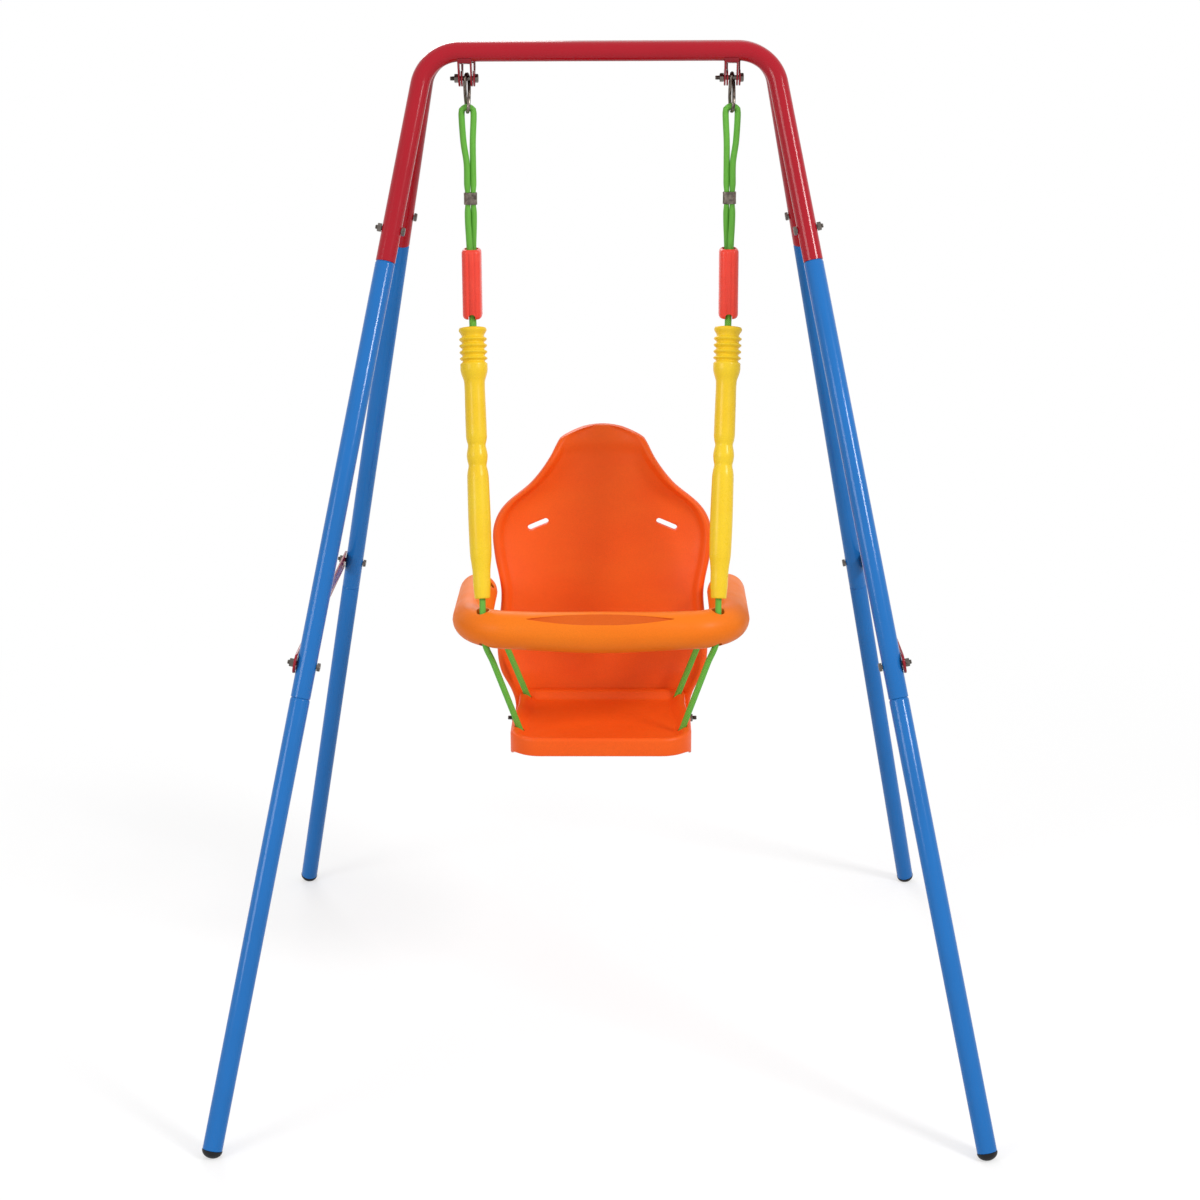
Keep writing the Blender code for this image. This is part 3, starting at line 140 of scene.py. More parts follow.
GUARD_ENTRIES = {-1: (GUARD_HALF_X - 0.0185, GUARD_FRONT_Y), 1: (GUARD_HALF_X - 0.015, GUARD_REAR_Y - 0.021)}
RECESS_HALF_LENGTH = 0.094
RECESS_HALF_WIDTH = 0.0085
RECESS_DEPTH = 0.0022
RECESS_TURN = radians(36.0)
ROPE_CLEARANCE = 0.0036
SEAT_CLEARANCE = 0.0009
SEAT_BELOW_GUARD = 0.1355
SEAT_DISH = 0.01
SEAT_LIP_HEIGHT = 0.0235
SEAT_SKIRT_HEIGHT = 0.0405
SEAT_FRONT_Y = -0.155
SEAT_REAR_Y = 0.06
SEAT_HALF_WIDTH = 0.1175
SEAT_REAR_HALF_WIDTH = 0.1125
SEAT_TAPER_Y = -0.06
SEAT_TAPER_LENGTH = 0.06
SEAT_CORNER = 0.04
SEAT_REAR_CORNER = 0.018
SEAT_LIP_Y = 0.012
SEAT_LIP_RUN = 0.06
SEAT_WALL = 0.0035
SEAT_RIM = 0.012
SEAT_EDGE = 0.0038
SEAT_HOLES = {-1: (0.104, -0.1), 1: (0.0995, 0.038)}
BACK_THICKNESS = 0.016
BACK_PANEL = 0.0095
BACK_RIM = 0.016
BACK_ROLL = 0.0045
BACK_TOP_RIM = 0.905
BACK_CROWN = 0.016
BACK_EDGE = 0.0026
HOLLOW_RUN = 0.0045
BACK_BELOW_SEAT = 0.0385
BACK_FOOT_Y = 0.0655
BACK_LEAN = radians(12.0)
BACK_WRAP = 0.028
BACK_WRAP_RISE = 0.06
SLOT_X = 0.088
SLOT_RISE = 0.257
SLOT_WIDTH = 0.03
SLOT_HEIGHT = 0.008
SLOT_SLANT = radians(20.0)
EAR_THICKNESS = 0.0045
SEAT_BOLT_Y = 0.02
SEAT_BOLT_DROP = 0.029
EAR_RADIUS = 0.0122
EAR_ROOT_RISE = 0.026
BACK_OUTLINE = (
    (0.000, 0.119), (0.03, 0.123), (0.07, 0.14), (0.105, 0.1435), (0.17, 0.138), (0.225, 0.1475),
    (0.258, 0.148), (0.285, 0.134), (0.315, 0.098), (0.345, 0.074), (0.372, 0.058), (0.388, 0.034),
)
LEG_DY = tan(LEAN)
LEG_DX = tan(SPLAY) / cos(LEAN)
TUBE_R = TUBE_D / 2
SKIN_R = TUBE_R - 0.0003
BORE_R = TUBE_R - TUBE_WALL
NECK_R = BORE_R - GAP
TOP_JOINT_Z = BAR_HEIGHT - TOP_TUBE_DROP
LOW_JOINT_Z = TOP_JOINT_Z - UPPER_LEG_DROP
HINGE_Z = BAR_HEIGHT - HINGE_DROP
HINGE = Vector((0.0, 0.0, HINGE_Z))
CRIMP_Z = HINGE_Z - CRIMP_DROP
ADJUSTER_TOP_Z = HINGE_Z - ADJUSTER_DROP
ADJUSTER_BOTTOM_Z = ADJUSTER_TOP_Z - ADJUSTER_LENGTH
STRAND_TOP_Z = ADJUSTER_BOTTOM_Z - STRAND_OUT
STRAND_LENGTH = HANDLE_TOP_GAP + HANDLE_LENGTH + HANDLE_LOW_GAP
STRAND_DROP = sqrt(STRAND_LENGTH ** 2 - (ROPE_X - GUARD_ENTRIES[-1][0]) ** 2
                        - (GUARD_ENTRIES[-1][1] + STRAND_SPREAD) ** 2)
GUARD_Z = STRAND_TOP_Z - STRAND_DROP + GUARD_ENTRY_DROP
SEAT_TOP_Z = GUARD_Z - SEAT_BELOW_GUARD
SEAT_BOLT_Z = SEAT_TOP_Z - SEAT_BOLT_DROP
BACK_BOTTOM_Z = SEAT_TOP_Z - BACK_BELOW_SEAT
GUARD_STRAIGHT = GUARD_HALF_X - GUARD_CORNER_RADIUS
BACK_HEIGHT = BACK_OUTLINE[-1][0]
HEX_FACE = HEX_FLATS / 2
HEX_CORNER = HEX_FLATS / sqrt(3)
QUARTER = pi / 2
X_AXIS, Y_AXIS, Z_AXIS = Vector((1, 0, 0)), Vector((0, 1, 0)), Vector((0, 0, 1))
SIDES = (("left", -1), ("right", 1))


# Materials

class Look:
    """Builds a node tree. An input is given as a value or as another node's output."""

    def __init__(self, name, kind="materials"):
        self.made = getattr(bpy.data, kind).new(name)
        self.made.use_nodes = True
        self.tree = self.made.node_tree

    def fill(self, node, inputs):
        for key, value in inputs.items():
            if isinstance(value, bpy.types.NodeSocket):
                self.tree.links.new(value, node.inputs[key])
            else:
                node.inputs[key].default_value = value

    def add(self, kind, out, inputs, **settings):
        """Adds a node and gives back one of its outputs."""
        made = self.tree.nodes.new("ShaderNode" + kind)
        for key, value in settings.items():
            setattr(made, key, value)
        self.fill(made, inputs)
        return made.outputs[out]

    def noise(self, scale, detail=3.0, stretch=None):
        """Fine or coarse noise over the surface, from 0 to 1."""
        place = self.add("TexCoord", "Object", {})
        if stretch:
            place = self.add("Mapping", "Vector", {"Vector": place, "Scale": stretch})
        return self.add("TexNoise", "Fac", {"Vector": place, "Scale": scale, "Detail": detail})

    def spread(self, source, low, high):
        """Maps the middle of a noise onto a range."""
        limits = {"From Min": 0.3, "From Max": 0.7, "To Min": low, "To Max": high}
        return self.add("MapRange", "Result", {"Value": source, **limits})

    def mix(self, amount, first, second, kind="MIX"):
        """Mixes two colours by a number."""
        first, second = ((*each, 1.0) if isinstance(each, tuple) else each for each in (first, second))
        inputs = {0: amount, 6: first, 7: second}
        return self.add("Mix", 2, inputs, data_type="RGBA", blend_type=kind)

    def maths(self, kind, first, second=0.0):
        return self.add("Math", 0, {0: first, 1: second}, operation=kind)

    def bump(self, height, strength, distance, under=None):
        inputs = {"Height": height, "Strength": strength, "Distance": distance}
        if under is not None:
            inputs["Normal"] = under
        return self.add("Bump", "Normal", inputs)

    def background(self, low):
        """1 for what the camera sees, straight or in a mirror or glass, otherwise the low value."""
        seen = self.tree.nodes.new("ShaderNodeLightPath").outputs
        total = seen["Is Camera Ray"]
        for name in ("Is Glossy Ray", "Is Transmission Ray"):
            total = self.maths("MAXIMUM", total, seen[name])
        return self.add("MapRange", "Result", {"Value": total, "To Min": low, "To Max": 1.0})

    def done(self, colour, roughness, normal, metallic=0.0, specular=0.5):
        inputs = {"Base Color": colour, "Roughness": roughness, "Normal": normal,
                  "Metallic": metallic, "Specular IOR Level": specular}
        self.fill(self.tree.nodes["Principled BSDF"], inputs)
        return self.made


def paint(name, colour):
    """Powder coat on steel: a glossy skin with a fine orange peel and faint clouding."""
    look = Look(name)
    clouds = look.spread(look.noise(9.0), 0.0, 1.0)
    dark, pale = (tuple(channel * factor for channel in colour) for factor in (0.94, 1.04))
    rough = look.spread(look.noise(38.0), 0.12, 0.19)
    peel = look.bump(look.noise(520.0, 2.0), 0.04, 0.0004)
    wave = look.bump(look.noise(40.0, 1.0), 0.015, 0.001, peel)
    return look.done(look.mix(clouds, dark, pale), rough, wave, specular=0.27)


def plastic(name, colour, deep, rough, grain, strength, specular=0.22):
    """Moulded polyethylene: slightly waxy, with flow marks and a fine spark grain."""
    look = Look(name)
    flow = look.spread(look.noise(11.0, 4.0, (1.0, 1.0, 2.4)), 0.0, 1.0)
    specks = look.spread(look.noise(900.0, 1.0), 0.94, 1.04)
    tint = look.mix(1.0, look.mix(flow, deep, colour), specks, "MULTIPLY")
    sparks = look.bump(look.noise(grain, 2.0), strength, 0.0004)
    waves = look.bump(look.noise(24.0, 1.0), 0.12, 0.002, sparks)
    return look.done(tint, look.spread(look.noise(55.0), *rough), waves, specular=specular)


def metal(name, colour, dark, rough):
    """Plated steel with a soft grain and darker blotches."""
    look = Look(name)
    tint = look.mix(look.spread(look.noise(180.0, 4.0), 0.0, 1.0), dark, colour)
    grain = look.bump(look.noise(1500.0, 2.0), 0.15, 0.0002)
    return look.done(tint, look.spread(look.noise(420.0), *rough), grain, metallic=1.0)


def braid(name, colour, dark):
    """Braided cord: strands cross in a diamond pattern, laid out on the piece's own UVs. The grooves between
    strands are darkened as painted shade.
    """
    look = Look(name)
    split = look.tree.nodes.new("ShaderNodeSeparateXYZ")
    look.fill(split, {"Vector": look.add("UVMap", "UV", {}, uv_map="lay")})
    around, along = split.outputs[0], split.outputs[1]
    turns = look.maths("MULTIPLY", around, 8.0 * pi)
    advance = look.maths("MULTIPLY", along, 9.0)
    waves = [look.maths("SINE", look.maths(kind, turns, advance)) for kind in ("ADD", "SUBTRACT")]
    height = look.maths("POWER", look.maths("ABSOLUTE", look.maths("MULTIPLY", *waves)), 0.5)
    slant = look.maths("ADD", around, look.maths("MULTIPLY", along, 0.05))
    yarn = look.maths("SINE", look.maths("MULTIPLY", slant, 300.0))
    fuzz = look.spread(look.noise(1400.0), 0.88, 1.06)
    # Painted shade: the low grooves between strands take the darker colour.
    tint = look.mix(1.0, look.mix(height, dark, colour), fuzz, "MULTIPLY")
    fine = look.bump(yarn, 0.15, 0.0002)
    return look.done(tint, 0.62, look.bump(height, 0.55, 0.0006, fine))


RED = paint("red_powder_coat", (0.435, 0.004, 0.016))
# The frame's red made darker: painted shade on the hinge brackets and the braces.
RED_WITH_PAINTED_SHADE = paint("red_powder_coat_with_painted_shade", (0.3, 0.008, 0.018))
BLUE = paint("blue_powder_coat", (0.01, 0.165, 0.52))
GUARD_LOOK = plastic("orange_blown_plastic", (0.975, 0.226, 0.014), (0.96, 0.202, 0.011),
                     (0.36, 0.48), 700.0, 0.08, 0.12)
# The recess: a rougher, coarser grain, and a darker orange that is painted shade.
RECESS_LOOK_WITH_PAINTED_SHADE = plastic("orange_textured_plastic_with_painted_shade", (0.78, 0.13, 0.008), (0.72, 0.11, 0.006),
                      (0.5, 0.62), 420.0, 0.3)
BACK_LOOK = plastic("orange_moulded_plastic", (0.975, 0.128, 0.009), (0.955, 0.11, 0.007),
                    (0.36, 0.48), 700.0, 0.08)
YELLOW = plastic("yellow_moulded_plastic", (0.99, 0.68, 0.026), (0.97, 0.62, 0.018),
                 (0.24, 0.34), 600.0, 0.08, 0.28)
CORAL = plastic("coral_moulded_plastic", (1.000, 0.088, 0.052), (0.96, 0.062, 0.036),
                (0.22, 0.3), 600.0, 0.06, 0.32)
BLACK = plastic("black_moulded_plastic", (0.016, 0.016, 0.017), (0.01, 0.01, 0.011),
                (0.4, 0.55), 500.0, 0.15)
ZINC = metal("blackened_steel", (0.21, 0.185, 0.165), (0.11, 0.095, 0.085), (0.24, 0.38))
NICKEL = metal("dark_nickel", (0.27, 0.23, 0.19), (0.08, 0.065, 0.055), (0.18, 0.3))
# The second colour is painted shade for the grooves of the braid.
GREEN = braid("green_braid_with_painted_shade", (0.19, 0.62, 0.06), (0.08, 0.34, 0.028))


# Mesh helpers

def shade(mesh, angle):
    mesh.shade_smooth()
    mesh.set_sharp_from_angle(angle=radians(angle))


def object_of(name, bm):
    mesh = bpy.data.meshes.new(name)
    bm.to_mesh(mesh)
    bm.free()
    made = bpy.data.objects.new(name, mesh)
    bpy.context.scene.collection.objects.link(made)
    return made


def piece(node, bm, look, body, angle=30.0):
    """Makes the fine form of one CAD node."""
    bmesh.ops.recalc_face_normals(bm, faces=bm.faces)
    made = object_of(node + "_fine", bm)
    made.data.materials.append(look)
    shade(made.data, angle)
    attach(made, body)
    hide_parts(node)
    return made


def modify(made, kind, angle=30.0, **settings):
    modifier = made.modifiers.new("change", kind)
    for key, value in settings.items():
        setattr(modifier, key, value)
    graph = bpy.context.evaluated_depsgraph_get()
    result = bpy.data.meshes.new_from_object(made.evaluated_get(graph))
    made.modifiers.clear()
    made.data = result
    shade(result, angle)


def cut(made, tool_bm, operation="DIFFERENCE", angle=30.0):
    """Cuts a piece with a tool, or joins the tool to it."""
    bmesh.ops.recalc_face_normals(tool_bm, faces=tool_bm.faces)
    tool = object_of("tool", tool_bm)
    for look in made.data.materials:
        tool.data.materials.append(look)
    modify(made, "BOOLEAN", angle, operation=operation, solver="EXACT", object=tool)
    bpy.data.objects.remove(tool)


def soften(made, width, segments=3, limit=35.0):
    """Rounds a piece's sharp edges."""
    modify(made, "BEVEL", width=width, segments=segments, limit_method="ANGLE",
           angle_limit=radians(limit), use_clamp_overlap=True, harden_normals=True)


def sweep(start, stop, steps):
    """Even steps from one value to another, with both ends."""
    return [start + (stop - start) * step / steps for step in range(steps + 1)]


def smooth(share):
    """Eases in and out from 0 to 1, and stays there beyond."""
    share = min(1.0, max(0.0, share))
    return share * share * (3 - 2 * share)


def mirrored(point, sx):
    return Vector((sx * point.x, point.y, point.z))


def square_to(direction, along):
    return (direction - along * direction.dot(along)).normalized()


def square_frame(axis):
    """Two directions square to an axis and to each other."""
    u = axis.orthogonal().normalized()
    return u, axis.cross(u)


def arc(centre, u, v, radius, start, stop, steps):
    return [centre + u * (radius * cos(angle)) + v * (radius * sin(angle))
            for angle in sweep(start, stop, steps)]


def circle(centre, u, v, radius, sides):
    return arc(centre, u, v, radius, 0.0, 2 * pi, sides)[:-1]


def squared_circle(half_x, half_y, power, sides):
    """x and y once around an oval with full corners."""
    places = []
    for angle in sweep(0.0, 2 * pi, sides)[:-1]:
        c, s = cos(angle), sin(angle)
        reach = (abs(c) ** power + abs(s) ** power) ** (-1 / power)
        places.append((half_x * reach * c, half_y * reach * s))
    return places


def skin(bm, rings, closed=False):
    """Joins rings of points with faces. The two ends are joined as well, or else capped."""
    made = [[bm.verts.new(point) for point in ring] for ring in rings]
    pairs = list(zip(made, made[1:]))
    if closed:
        pairs.append((made[-1], made[0]))
    for low, high in pairs:
        count = len(low)
        for index in range(count):
            after = (index + 1) % count
            bm.faces.new((low[index], low[after], high[after], high[index]))
    if not closed:
        bm.faces.new(made[0])
        bm.faces.new(made[-1])


def skinned(rings, closed=False):
    bm = bmesh.new()
    skin(bm, rings, closed)
    return bm


def turned(base, axis, profile, sides, closed=False):
    u, v = square_frame(axis)
    return skinned([circle(base + axis * along, u, v, radius, sides) for along, radius in profile], closed)


def prism(outline, depth):
    return skinned([[point + depth * side for point in outline] for side in (-0.5, 0.5)])


def drill(made, centre, axis, radius, length):
    cut(made, turned(centre - axis * (length / 2), axis, ((0.0, radius), (length, radius)), 24))


def tube_along(line, sides, facing=None, closed=False):
    """Rings along points with radii. They keep facing one way, or else turn as little as they can."""
    rings = []
    side = facing
    for index, (point, radius) in enumerate(line):
        before = line[index - 1 if index or closed else 0][0]
        after = line[(index + 1) % len(line) if closed else min(index + 1, len(line) - 1)][0]
        along = (after - before).normalized()
        if side is None:
            side = along.orthogonal()
        side = square_to(side if facing is None else facing, along)
        rings.append(circle(point, side, along.cross(side), radius, sides))
    return rings


def near(rows, index):
    """The rows before, at and after a stretch, with the ends used twice."""
    return [rows[min(max(place, 0), len(rows) - 1)] for place in range(index - 1, index + 3)]


def catmull_rom(p0, p1, p2, p3, t):
    return ((2 * p1) + (p2 - p0) * t + (2 * p0 - 5 * p1 + 4 * p2 - p3) * t * t
            + (3 * p1 - p0 - 3 * p2 + p3) * t * t * t) / 2


# Frame

def leg_point(sx, sy, z):
    fall = BAR_HEIGHT - z
    return Vector((sx * (CORNER_X + fall * LEG_DX), sy * (BAR_PITCH / 2 + fall * LEG_DY), z))


def leg_up(sx, sy):
    return (leg_point(sx, sy, 1.0) - leg_point(sx, sy, 0.0)).normalized()


def bolt_axis(sx):
    return Vector((sx, 0.0, LEG_DX)).normalized()


def joint_bolt(sx, sy, joint_z):
    return leg_point(sx, sy, joint_z) + leg_up(sx, sy) * BOLT_ABOVE_JOINT


def tube_ring(centre, along, sy, radius, sides=40):
    normal = Vector((0.0, sy * cos(LEAN), sin(LEAN)))
    return circle(centre, normal, along.cross(normal), radius, sides)


def bend_stations(sy):
    """Places and directions along a top tube, from left to right."""
    turn = QUARTER - SPLAY
    reach = BEND_RADIUS * tan(turn / 2)
    down = Vector((0.0, sy * sin(LEAN), -cos(LEAN)))
    middle = Vector((0.0, sy * BAR_PITCH / 2, BAR_HEIGHT))
    right = []
    for angle in sweep(0.0, turn, 24):
        sideways = CORNER_X - reach + BEND_RADIUS * sin(angle)
        drop = BEND_RADIUS * (1 - cos(angle))
        along = X_AXIS * cos(angle) + down * sin(angle)
        right.append((middle + X_AXIS * sideways + down * drop, along))
    right.append((leg_point(1, sy, TOP_JOINT_Z), -leg_up(1, sy)))
    left = [(mirrored(centre, -1), -mirrored(along, -1)) for centre, along in reversed(right)]
    return left + right


def top_tube(node, sy, body):
    stations = bend_stations(sy)
    (start, first), (stop, last) = stations[0], stations[-1]
    skins = [(start, first, SKIN_R - TUBE_EDGE), (start + first * TUBE_EDGE, first, SKIN_R)]
    skins += [(centre, along, SKIN_R) for centre, along in stations[1:-1]]
    skins += [(stop - last * TUBE_EDGE, last, SKIN_R), (stop, last, SKIN_R - TUBE_EDGE)]
    skins += [(centre, along, BORE_R) for centre, along in reversed(stations)]
    rings = [tube_ring(centre, along, sy, radius) for centre, along, radius in skins]
    made = piece(node, skinned(rings, closed=True), RED, body)
    for sx in (-1, 1):
        drill(made, joint_bolt(sx, sy, TOP_JOINT_Z), bolt_axis(sx), HOLE_R, TUBE_D * 2)


def leg_tube(node, sx, sy, joint_z, end, bolts, body):
    """A leg tube with the drawn-in neck that goes into the tube above."""
    up = leg_up(sx, sy)
    joint = leg_point(sx, sy, joint_z)
    tip = joint + up * NECK_LENGTH
    neck_end = joint - up * GAP
    body_start = neck_end - up * SWAGE_LENGTH
    inner = NECK_R - TUBE_WALL
    outline = (
        (tip, NECK_R), (neck_end, NECK_R), (neck_end - up * SWAGE_LENGTH * 0.35, NECK_R + 0.0006),
        (neck_end - up * SWAGE_LENGTH * 0.8, SKIN_R - 0.0002), (body_start, SKIN_R),
        (end + up * TUBE_EDGE, SKIN_R), (end, SKIN_R - TUBE_EDGE), (end, BORE_R),
        (body_start - up * SWAGE_LENGTH, BORE_R), (neck_end - up * SWAGE_LENGTH / 2, inner), (tip, inner),
    )
    rings = [tube_ring(centre, up, sy, radius) for centre, radius in outline]
    made = piece(node, skinned(rings, closed=True), BLUE, body)
    for centre in bolts:
        drill(made, centre, bolt_axis(sx), HOLE_R, TUBE_D * 2)


def foot_end(sx, sy):
    """The lower end of a leg, so high that the worn dome of its cap stands on the floor."""
    tilt = leg_up(sx, sy).z
    side = sqrt(1 - tilt * tilt)
    turns = [radians(angle) for angle in (0.0, 25.0, 50.0, 72.0)]
    lowest = max(CAP_LENGTH * sin(turn) * tilt + CAP_RADIUS * cos(turn) * side for turn in turns)
    return leg_point(sx, sy, lowest - CAP_CUT)


def foot_cap(node, sx, sy, body):
    """A domed plug with a small lip against the tube's end, worn flat where it stands."""
    down = -leg_up(sx, sy)
    end = foot_end(sx, sy) + down * GAP
    stem = BORE_R - GAP
    rim = CAP_RADIUS - 0.0003
    profile = [(-0.018, stem * 0.9), (-0.0145, stem), (0.0, stem), (0.0, rim - TUBE_EDGE), (TUBE_EDGE, rim)]
    for turn in sweep(0.0, radians(74.4), 12)[1:]:
        profile.append((CAP_LENGTH * sin(turn), rim * cos(turn) * 0.996))
    bm = skinned([tube_ring(end + down * along, -down, sy, radius) for along, radius in profile])
    everything = bm.verts[:] + bm.edges[:] + bm.faces[:]
    sole = bmesh.ops.bisect_plane(bm, geom=everything, plane_co=(0, 0, 0), plane_no=(0, 0, -1), clear_outer=True)
    edges = [item for item in sole["geom_cut"] if isinstance(item, bmesh.types.BMEdge)]
    bmesh.ops.edgeloop_fill(bm, edges=edges)
    piece(node, bm, BLACK, body)


# Fasteners

def hex_ring(centre, u, v, limit):
    """A hexagon whose corners are turned off at a radius, as the chamfer on a real head does."""
    points = []
    for angle in sweep(0.0, 2 * pi, 48)[:-1]:
        radius = min(HEX_FACE / cos(angle % (pi / 3) - pi / 6), limit)
        points.append(centre + u * (radius * cos(angle)) + v * (radius * sin(angle)))
    return points


def bolt(node, start, axis, grip, out, body):
    """A head, a smooth shank and a threaded end made of small ridges."""
    seat = start - axis * GAP
    u, v = square_frame(axis)
    smooth_end = grip + 2 * GAP + NUT_HEIGHT - THREAD_PITCH
    tip = grip + NUT_HEIGHT + out
    shank = [(0.0, BOLT_R), (smooth_end, BOLT_R)]
    for ridge in range(int((tip - smooth_end) / THREAD_PITCH)):
        shank.append((smooth_end + THREAD_PITCH * (ridge + 0.25), BOLT_R - 0.0001))
        shank.append((smooth_end + THREAD_PITCH * (ridge + 0.75), BOLT_R - 0.00055))
    shank.append((tip, BOLT_R - 0.0007))
    rings = [circle(seat - axis * HEAD_HEIGHT * 0.94, u, v, HEX_FACE * 0.55, 48),
             circle(seat - axis * HEAD_HEIGHT, u, v, HEX_FACE * 0.8, 48)]
    for share, limit in ((0.93, HEX_FACE * 1.02), (0.78, HEX_CORNER), (0.1, HEX_CORNER), (0.0, HEX_FACE * 1.06)):
        rings.append(hex_ring(seat - axis * HEAD_HEIGHT * share, u, v, limit))
    rings += [circle(seat + axis * along, u, v, radius, 48) for along, radius in shank]
    piece(node, skinned(rings), ZINC, body, 24.0)


def nut(node, seat, axis, body):
    u, v = square_frame(axis)
    bore = BOLT_R + GAP
    levels = ((0.0, HEX_FACE * 1.04), (0.06, HEX_FACE * 1.12), (0.14, HEX_CORNER), (0.84, HEX_CORNER),
              (0.94, HEX_FACE * 1.1), (1.0, HEX_FACE))
    rings = [hex_ring(seat + axis * NUT_HEIGHT * along, u, v, limit) for along, limit in levels]
    for along, radius in ((NUT_HEIGHT, bore + 0.0005), (NUT_HEIGHT - 0.0005, bore), (0.0, bore)):
        rings.append(circle(seat + axis * along, u, v, radius, 48))
    piece(node, skinned(rings, closed=True), ZINC, body, 24.0)


def fasten(kind, place, start, axis, grip, body, out=THREAD_OUT):
    bolt(kind + "_bolt_" + place, start, axis, grip, out, body)
    nut(kind + "_nut_" + place, start + axis * (grip + GAP), axis, body)


# Brackets, braces and links

def lug_outline(sy):
    """A saddle under the tube and an eye round the bolt, seen from the side."""
    bar = Vector((0.0, sy * BAR_PITCH / 2, HINGE_DROP))
    saddle = TUBE_R + GAP
    spread = asin(LUG_HALF_WIDTH / saddle)
    points = arc(bar, -Z_AXIS, Y_AXIS * sy, saddle, -spread, spread, 18)
    inner, outer = points[0], points[-1]
    tangent = acos(LUG_EYE_RADIUS / hypot(outer.y, outer.z))
    start = atan2(outer.z, sy * outer.y) - tangent
    stop = atan2(sqrt(LUG_EYE_RADIUS ** 2 - inner.y ** 2), sy * inner.y) - 2 * pi
    return points + arc(Vector(), Y_AXIS * sy, Z_AXIS, LUG_EYE_RADIUS, start, stop, 32)


def web_cutter(sy):
    """The space between a bracket's lugs, seen from the side."""
    bar = Vector((0.0, sy * BAR_PITCH / 2, HINGE_DROP))
    radius = TUBE_R + 2 * GAP + WEB_THICKNESS
    points = arc(bar, -Z_AXIS, Y_AXIS * sy, radius, -WEB_TURN, WEB_TURN, 30)
    past_eye = -sy * LUG_EYE_RADIUS * 1.2
    corners = ((points[-1].y, -HINGE_DROP), (past_eye, -HINGE_DROP), (past_eye, points[0].z))
    return points + [Vector((0.0, y, z)) for y, z in corners]


def hinge_bracket(node, sx, sy, body):
    shift = sy * (LUG_THICKNESS + LUG_SIDE_GAP) / 2
    centre = HINGE + X_AXIS * (sx * HANGER_X + shift)
    block, space = ([point + centre for point in outline(sy)] for outline in (lug_outline, web_cutter))
    # Painted shade: the bracket takes the frame's red darkened.
    made = piece(node, prism(block, X_AXIS * (LUG_PITCH + LUG_THICKNESS)), RED_WITH_PAINTED_SHADE, body)
    cut(made, prism(space, X_AXIS * (LUG_PITCH - LUG_THICKNESS)))
    drill(made, centre, X_AXIS, HOLE_R, LUG_PITCH * 2)
    soften(made, 0.00035, 2)


def brace_slot_direction():
    pivot = joint_bolt(1, 1, LOW_JOINT_Z)
    turn = acos(-leg_up(1, 1).y)
    advance = HINGE_Z - pivot.z
    rise = 2 * pivot.y * (1 + turn / (2 * LEAN)) - pivot.y
    return Vector((0.0, advance, -rise)).normalized()


def brace(node, sx, body):
    """A flat bar with a hole round the rear bolt and an open hook round the front one."""
    axis = bolt_axis(sx)
    rise = Vector((-sx * axis.z, 0, sx * axis.x)).normalized()
    middle = axis * (TUBE_R + GAP + BRACE_THICKNESS / 2)
    front, rear = (joint_bolt(sx, sy, LOW_JOINT_Z) + middle for sy in (-1, 1))
    outline = []
    for centre, way in ((front, -1), (rear, 1)):
        outline += arc(centre, Y_AXIS * way, rise * way, BRACE_WIDTH / 2, -QUARTER, QUARTER, 30)
    # Painted shade: the brace takes the frame's red darkened.
    made = piece(node, prism(outline, axis * BRACE_THICKNESS), RED_WITH_PAINTED_SHADE, body)
    drill(made, rear, axis, HOLE_R, TUBE_D)
    slot_way = brace_slot_direction()
    open_way = Y_AXIS * slot_way.y + rise * slot_way.z
    across = axis.cross(open_way)
    slot = arc(front, open_way, across, HOLE_R, QUARTER, 3 * QUARTER, 18)
    slot += [front + open_way * BRACE_WIDTH + across * (side * HOLE_R) for side in (-1, 1)]
    cut(made, prism(slot, axis * TUBE_D))
    soften(made, 0.0006, 3)


def link(node, sx, body):
    """A wire bent to a figure eight between the hinge bolt and the rope."""
    top = BOLT_R + GAP + WIRE_R
    bottom = -(LOOP_DROP + ROPE_R + GAP + WIRE_R)
    centre = HINGE + Vector((sx * HANGER_X, 0, (top + bottom) / 2))
    line = []
    for t in sweep(0.0, 2 * pi, 120)[:-1]:
        z = (top - bottom) / 2 * cos(t)
        line.append((centre + Vector((LINK_CROSSING * sin(t), LINK_HALF_WIDTH * sin(2 * t), z)), WIRE_R))
    piece(node, skinned(tube_along(line, 20, X_AXIS, closed=True), closed=True), NICKEL, body)


# Ropes, crimps, adjusters and handles

def strand_marks(side):
    """Where a strand leaves the sleeve, enters the guard and goes through the seat."""
    entry, hole = GUARD_ENTRIES[side], SEAT_HOLES[side]
    return (Vector((ROPE_X, side * STRAND_SPREAD, STRAND_TOP_Z)),
            Vector((*entry, GUARD_Z - GUARD_ENTRY_DROP)), Vector((*hole, SEAT_TOP_Z - SEAT_DISH)))


def knot_place(side):
    """Middle of the knot under the seat, and the strand's direction there."""
    _, entry, hole = strand_marks(side)
    down = (hole - entry).normalized()
    return hole + down * (SEAT_WALL + KNOT_HALF + GAP * 8), down


